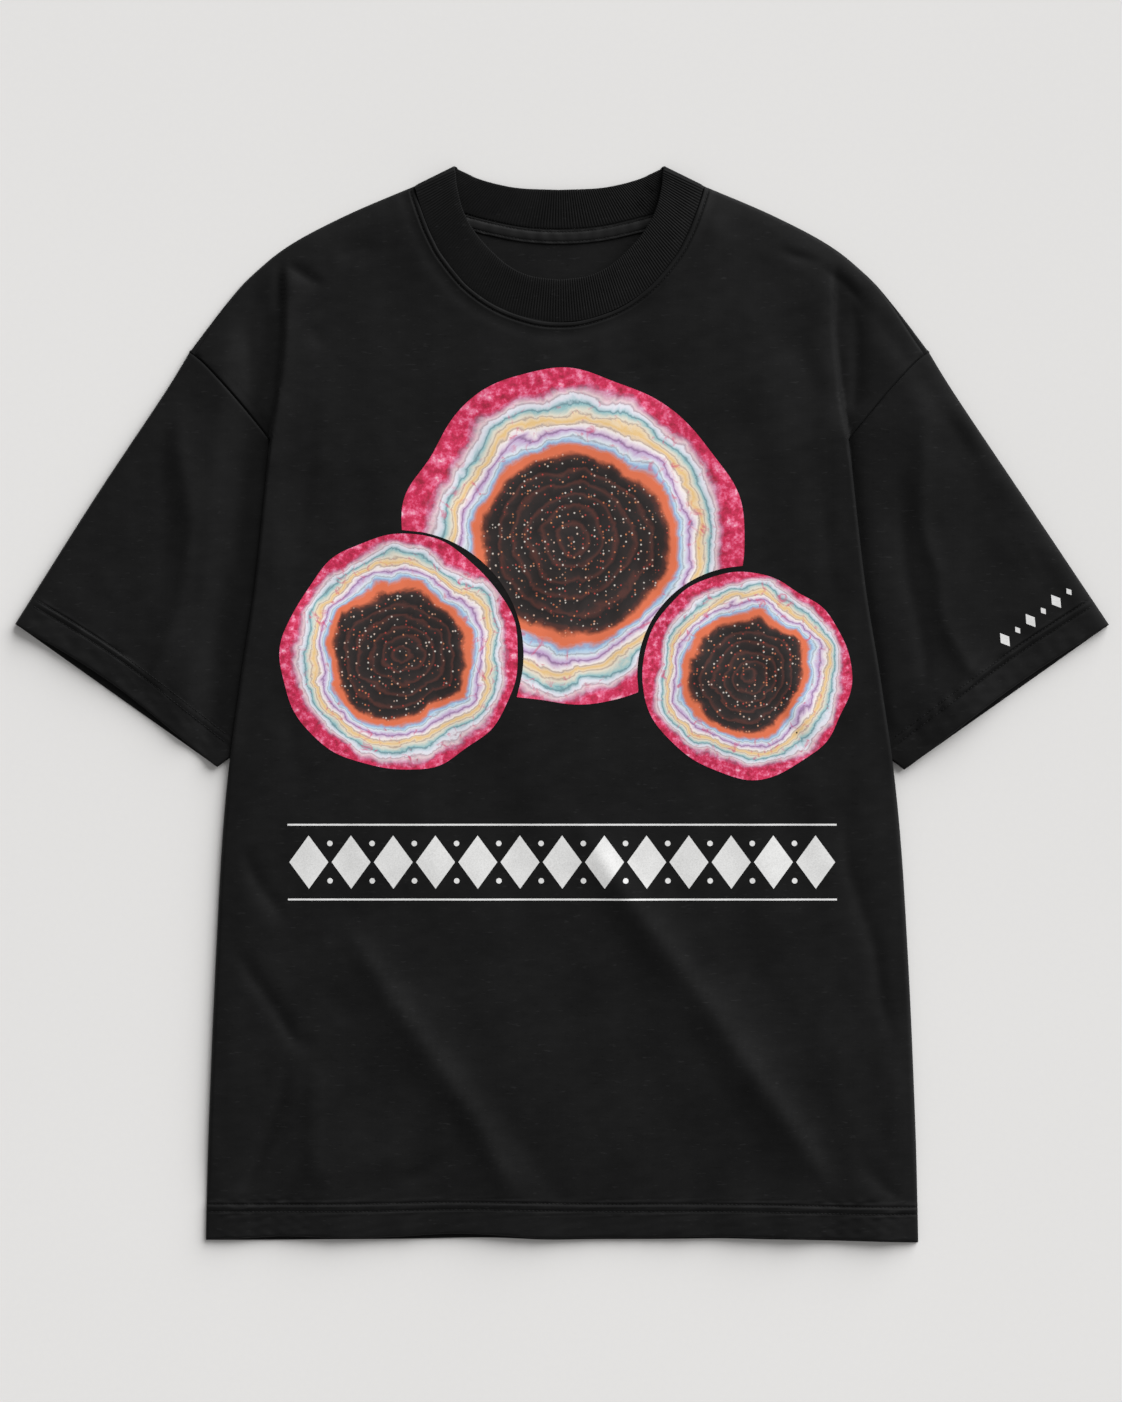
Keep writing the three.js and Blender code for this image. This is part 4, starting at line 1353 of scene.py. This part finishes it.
def tape_material():
    """Black twill: fine slanting ribs."""
    n = Nodes("tape_twill")
    diagonal = n.wave(n.scaled(rotation=(0, 0, math.radians(35))), 420, "X", 0.2)
    cloud = n.noise(n.scaled(), 90, 3)
    tone = n.weighted((cloud, 0.7), (diagonal, 0.3))
    n.set(
        Base_Color=n.ramp(tone, [(0.3, (0.0024, 0.0024, 0.0025)), (0.7, (0.0050, 0.0050, 0.0051))]),
        Roughness=n.range(diagonal, 0, 1, 0.58, 0.7),
        Specular_IOR_Level=0.2,
    )
    n.bump(diagonal, 0.3, 0.00015)
    return n.material


def thread_material():
    """Black sewing thread with a fine twist."""
    n = Nodes("black_thread")
    twist = n.wave(n.scaled(rotation=(0, 0, math.radians(28))), 1400, "X")
    n.set(
        Base_Color=n.ramp(twist, [(0.2, (0.003, 0.003, 0.0032)), (0.8, (0.009, 0.009, 0.0095))]),
        Roughness=n.range(twist, 0, 1, 0.5, 0.7),
        Specular_IOR_Level=0.25,
    )
    n.bump(twist, 0.4, 0.0001)
    return n.material


def white_ink_material():
    """Off-white ink, a little worn, with the weave showing through."""
    n = Nodes("ink_offwhite")
    wear = n.noise(n.scaled(), 900, 3, 0.65)
    weave = n.weave()
    tone = n.weighted((wear, 0.6), (weave, 0.4))
    shades = [(0.3, (0.56, 0.56, 0.555)), (0.55, (0.72, 0.72, 0.715)), (0.75, (0.78, 0.78, 0.775))]
    n.set(
        Base_Color=n.ramp(tone, shades),
        Roughness=n.range(wear, 0.3, 0.7, 0.55, 0.75),
        Specular_IOR_Level=0.35,
    )
    n.bump(weave, 0.25, 0.00008)
    return n.material


BLACK, WHITE = (0, 0, 0), (1, 1, 1)
BAND_COLOURS = [
    (0.0, (0.80, 0.78, 0.80)),
    (0.13, (0.20, 0.42, 0.68)),
    (0.24, (0.74, 0.82, 0.86)),
    (0.36, (0.50, 0.30, 0.56)),
    (0.47, (0.86, 0.80, 0.80)),
    (0.58, (0.78, 0.52, 0.22)),
    (0.68, (0.84, 0.74, 0.60)),
    (0.80, (0.24, 0.48, 0.52)),
    (0.90, (0.72, 0.72, 0.80)),
    (1.0, (0.80, 0.78, 0.80)),
]
BAND_LINES = [(0.0, (0.45, 0.42, 0.45)), (0.25, WHITE), (0.85, WHITE), (1, (0.5, 0.46, 0.5))]
CORE_RINGS = [
    (0.0, (0.008, 0.006, 0.006)),
    (0.55, (0.020, 0.012, 0.011)),
    (0.8, (0.075, 0.022, 0.016)),
    (1.0, (0.008, 0.006, 0.006)),
]
CRYSTALS = [(0.2, (0.46, 0.05, 0.04)), (0.5, (0.70, 0.26, 0.10)), (0.8, (0.72, 0.66, 0.60))]
RIM_COLOURS = [
    (0.32, (0.30, 0.006, 0.03)),
    (0.5, (0.62, 0.02, 0.09)),
    (0.62, (0.80, 0.16, 0.30)),
    (0.74, (0.90, 0.60, 0.66)),
]
BLUSH = (0.62, 0.05, 0.16)
CORE_LIP = (0.72, 0.16, 0.07)


def stone_spot(n, centre, radius, seed):
    """Places on a disc: 0 at its middle and 1 at its edge, with another pattern for each seed."""
    scale = 1 / (radius * METRE)
    location = (-centre[0] / radius, -centre[1] / radius, seed * 1.7)
    inputs = {"Vector": n.place, "Location": location, "Scale": (scale, scale, 0.01)}
    return n.add("ShaderNodeMapping", inputs).outputs["Vector"]


def stone_rings(n, spot, fine):
    """Distance from the disc's middle, warped so that rings of equal distance are wavy."""
    flat = n.add("ShaderNodeSeparateXYZ", {"Vector": spot})
    squares = [n.math("MULTIPLY", flat.outputs[axis], flat.outputs[axis]) for axis in "XY"]
    reach = n.math("SQRT", n.math("ADD", *squares))
    warp = n.weighted((n.noise(spot, 1.7, 2, 0.5), 0.34), (fine, 0.11))
    return n.math("ADD", reach, n.math("SUBTRACT", warp, 0.225))


def stone_bands(n, spot, ring):
    """Iridescent bands crossed by thin darker lines, with a few crimson clouds."""
    bands = n.ramp(n.repeats(ring, 3.4), BAND_COLOURS)
    lines = n.ramp(n.repeats(ring, 23), BAND_LINES)
    clouds = n.range(n.noise(spot, 9, 3, 0.6, 1.5), 0.58, 0.72, 0, 0.75)
    return n.blend(clouds, n.blend(0.8, bands, lines, "MULTIPLY"), BLUSH)


def stone_core(n, spot, ring, radius):
    """A dark druse: faint growth rings and a scatter of small crystals."""
    crystal = n.add("ShaderNodeTexVoronoi", {"Vector": spot, "Scale": 46 * radius / 100}, feature="F1")
    facet = n.add("ShaderNodeSeparateColor", {"Color": crystal.outputs["Color"]})
    near_centre = n.range(crystal.outputs["Distance"], 0.12, 0.42, 1, 0)
    lit = n.math("MULTIPLY", near_centre, n.math("GREATER_THAN", facet.outputs["Red"], 0.72))
    growth = n.ramp(n.repeats(ring, 11), CORE_RINGS)
    return n.blend(lit, growth, n.ramp(facet.outputs["Green"], CRYSTALS))


def agate_material(name, centre, radius, seed):
    """Cut stone, from its rim inwards: crimson, iridescent bands, an orange lip and a dark core."""
    n = Nodes(name)
    spot = stone_spot(n, centre, radius, seed)
    fine = n.noise(spot, 6.0, 4, 0.6, 0.6)
    ring = stone_rings(n, spot, fine)
    is_core = n.range(ring, 0.56, 0.59, 1, 0)
    body = n.blend(is_core, stone_bands(n, spot, ring), stone_core(n, spot, ring, radius))
    lip = n.ramp(ring, [(0.53, BLACK), (0.565, WHITE), (0.60, WHITE), (0.635, BLACK)])
    body = n.blend(lip, body, CORE_LIP)
    rim = n.ramp(ring, [(0.86, BLACK), (0.93, WHITE)])
    body = n.blend(rim, body, n.ramp(n.noise(spot, 16, 4, 0.7), RIM_COLOURS))
    n.set(
        Base_Color=body,
        Roughness=n.range(fine, 0.3, 0.7, 0.45, 0.65),
        Specular_IOR_Level=0.4,
    )
    n.bump(n.weave(), 0.2, 0.00008)
    return n.material


def floor_material():
    """Pale, matt and almost even."""
    n = Nodes("pale_floor")
    tooth = n.noise(n.scaled(), 240, 3, 0.6)
    broad = n.noise(n.scaled(), 1.3, 2)
    tone = n.weighted((tooth, 0.3), (broad, 0.7))
    n.set(
        Base_Color=n.ramp(tone, [(0.3, (0.735, 0.728, 0.720)), (0.7, (0.765, 0.758, 0.750))]),
        Roughness=n.range(tooth, 0.3, 0.7, 0.75, 0.9),
        Specular_IOR_Level=0.2,
    )
    return n.material


def give(made, material):
    made.data.materials.append(material)


# ---------------------------------------------------------------- floor, light and camera
FRAME_HEIGHT = 1402  # pixels
PIXEL = 0.75  # mm
VIEW_CENTRE = (0.0, 2.6)  # mm
CAMERA_HEIGHT = 4.2  # m
SENSOR = 36  # mm
FLOOR_SIZE = 30.0  # m, half its width
FLOOR_DROP = 0.0002  # m, below the cloth


def make_stage():
    mesh = bpy.data.meshes.new("floor")
    corners = [(x * FLOOR_SIZE, y * FLOOR_SIZE, 0) for x, y in ((-1, -1), (1, -1), (1, 1), (-1, 1))]
    mesh.from_pydata(corners, [], [(0, 1, 2, 3)])
    floor = linked("floor", mesh)
    floor.location.z = -FLOOR_DROP
    give(floor, floor_material())


KEY_DIRECTION = (0.60, 0.74, 0.385)  # towards the light
KEY_STRENGTH = 5.7
KEY_SPREAD = 58  # degrees
WORLD_COLOUR = (1.0, 0.992, 0.984)
WORLD_STRENGTH = 0.33


def soft_light(name, direction, strength, spread):
    light = bpy.data.lights.new(name, "SUN")
    light.energy = strength
    light.angle = math.radians(spread)
    made = linked(name, light)
    made.location = direction
    made.rotation_euler = Vector(direction).to_track_quat("Z", "Y").to_euler()


def make_lights():
    world = bpy.data.worlds.new("studio")
    world.use_nodes = True
    background = world.node_tree.nodes["Background"]
    background.inputs["Color"].default_value = (*WORLD_COLOUR, 1)
    background.inputs["Strength"].default_value = WORLD_STRENGTH
    bpy.context.scene.world = world
    soft_light("key", KEY_DIRECTION, KEY_STRENGTH, KEY_SPREAD)


def make_camera():
    camera = bpy.data.cameras.new("camera")
    tall = FRAME_HEIGHT * PIXEL * METRE
    camera.sensor_width = SENSOR
    camera.lens = SENSOR * CAMERA_HEIGHT / tall
    made = linked("camera", camera)
    made.location = (VIEW_CENTRE[0] * METRE, VIEW_CENTRE[1] * METRE, CAMERA_HEIGHT)
    bpy.context.scene.camera = made
    bpy.context.scene.view_settings.view_transform = "Standard"


# ---------------------------------------------------------------- the shirt
make_camera()
make_stage()
make_lights()

front = front_cloth()
back = back_cloth()
right_sleeve = sleeve_cloth("right_sleeve_cloth", -1, RIGHT_CUFF, RIGHT_SLEEVE_FOLDS)
left_sleeve = sleeve_cloth("left_sleeve_cloth", 1, LEFT_CUFF, LEFT_SLEEVE_FOLDS)
rib = rib_collar()
tape, tape_runs = neck_tape()

jersey = knit_material("jersey", (0.0023, 0.0023, 0.0024), (0.0060, 0.0060, 0.0061), 0.95, 0.75, 0.04, 0.64)
rib_knit = knit_material("rib_knit", (0.0018, 0.0018, 0.0019), (0.0046, 0.0046, 0.0047), 0.9, 0.8, 0.03, 0.66)
for made in (front, back, right_sleeve, left_sleeve):
    give(made, jersey)
give(rib, rib_knit)
give(tape, tape_material())


def hem_runs(surface, line, above):
    """The two rows of stitches of a hem, measured from a line across it."""
    x = np.arange(-HEM_HALF_WIDTH + 3, HEM_HALF_WIDTH - 2.9, 3.0)
    return [run_over(surface, np.column_stack([x, line(x) + row]), above) for row in HEM_STITCHES]


def cuff_runs(surface, cuff_ends, sign):
    """The two rows of stitches of a cuff, outside the body."""
    share = np.linspace(0.02, 0.985, 70)
    runs = []
    for row in CUFF_STITCHES:
        inset = row + cuff_slack(share, row, sign)
        line = curve(cuff_ends).at(share) + cuff_inward(cuff_ends) * inset[:, None]
        line = line[out_by(line[:, 0], line[:, 1]) > 2.5]
        runs.append(run_over(surface, line * np.array([sign, 1]), 0.1))
    return runs


front_face = Surface(front)
front_hem = hem_runs(front_face, hem_stitch_line, 0.1)
neck_run = run_over(front_face, shifted(both_halves(NECK_SEAM).points, NECK_STITCHES)[8:-8], 0.1)
back_hem = hem_runs(Surface(back, from_below=True), lambda x: hem_edge(x, False), -0.05)
threads = {
    "front_hem_thread": thread("front_hem_thread", front_hem, length=2.3, gap=0.75, radius=0.26),
    "neck_thread": thread("neck_thread", [neck_run], length=2.3, gap=0.7, radius=0.22),
    "back_hem_thread": thread("back_hem_thread", back_hem, length=2.3, gap=0.75, radius=0.2),
}
for side_name, sign, made, cuff_ends in (
    ("left", 1, left_sleeve, LEFT_CUFF),
    ("right", -1, right_sleeve, RIGHT_CUFF),
):
    name = f"{side_name}_cuff_thread"
    runs = cuff_runs(Surface(made), cuff_ends, sign)
    threads[name] = thread(name, runs, length=2.3, gap=0.7, radius=0.24)
threads["tape_thread"] = thread("tape_thread", tape_runs, length=2.0, gap=0.8, radius=0.22)
black_thread = thread_material()
for made in threads.values():
    give(made, black_thread)

# The three discs overlap: the two small ones lie in front, each with a black margin round it.
nearer_discs = [(centre, radius + DISC_MARGIN) for _, centre, radius, _ in DISCS[1:]]
prints = {}
for name, centre, radius, seed in DISCS:
    nearer = nearer_discs if name == "print_disc_back" else ()
    prints[name] = film(name, front_face, [uneven_disc(centre, radius, seed, nearer)])
    give(prints[name], agate_material(name.replace("print", "ink"), centre, radius, seed))
white_ink = white_ink_material()
prints["print_border"] = film("print_border", front_face, border_outlines())
prints["print_sleeve_row"] = film("print_sleeve_row", Surface(left_sleeve), sleeve_row_outlines())
give(prints["print_border"], white_ink)
give(prints["print_sleeve_row"], white_ink)

# The shirt lies a little askew: its neck is moved towards x below 0 and its hem the other way.
NECK_SWAY, HEM_SWAY = -1.3, 0.8  # mm


def sway(made):
    for vertex in made.data.vertices:
        y = vertex.co.y / METRE
        vertex.co.x += mix(HEM_SWAY, NECK_SWAY, float(smooth((y + 250) / 500))) * METRE


# ---------------------------------------------------------------- each piece swayed and put in one body; the CAD parts hidden
cloths = (front, back, right_sleeve, left_sleeve, rib, tape)
for made in (*cloths, *threads.values(), *prints.values()):
    sway(made)
    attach(made, "root")
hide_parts("front_panel")
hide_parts("back_panel")
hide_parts("right_sleeve")
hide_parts("left_sleeve")
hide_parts("neck_rib")
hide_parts("neck_tape")
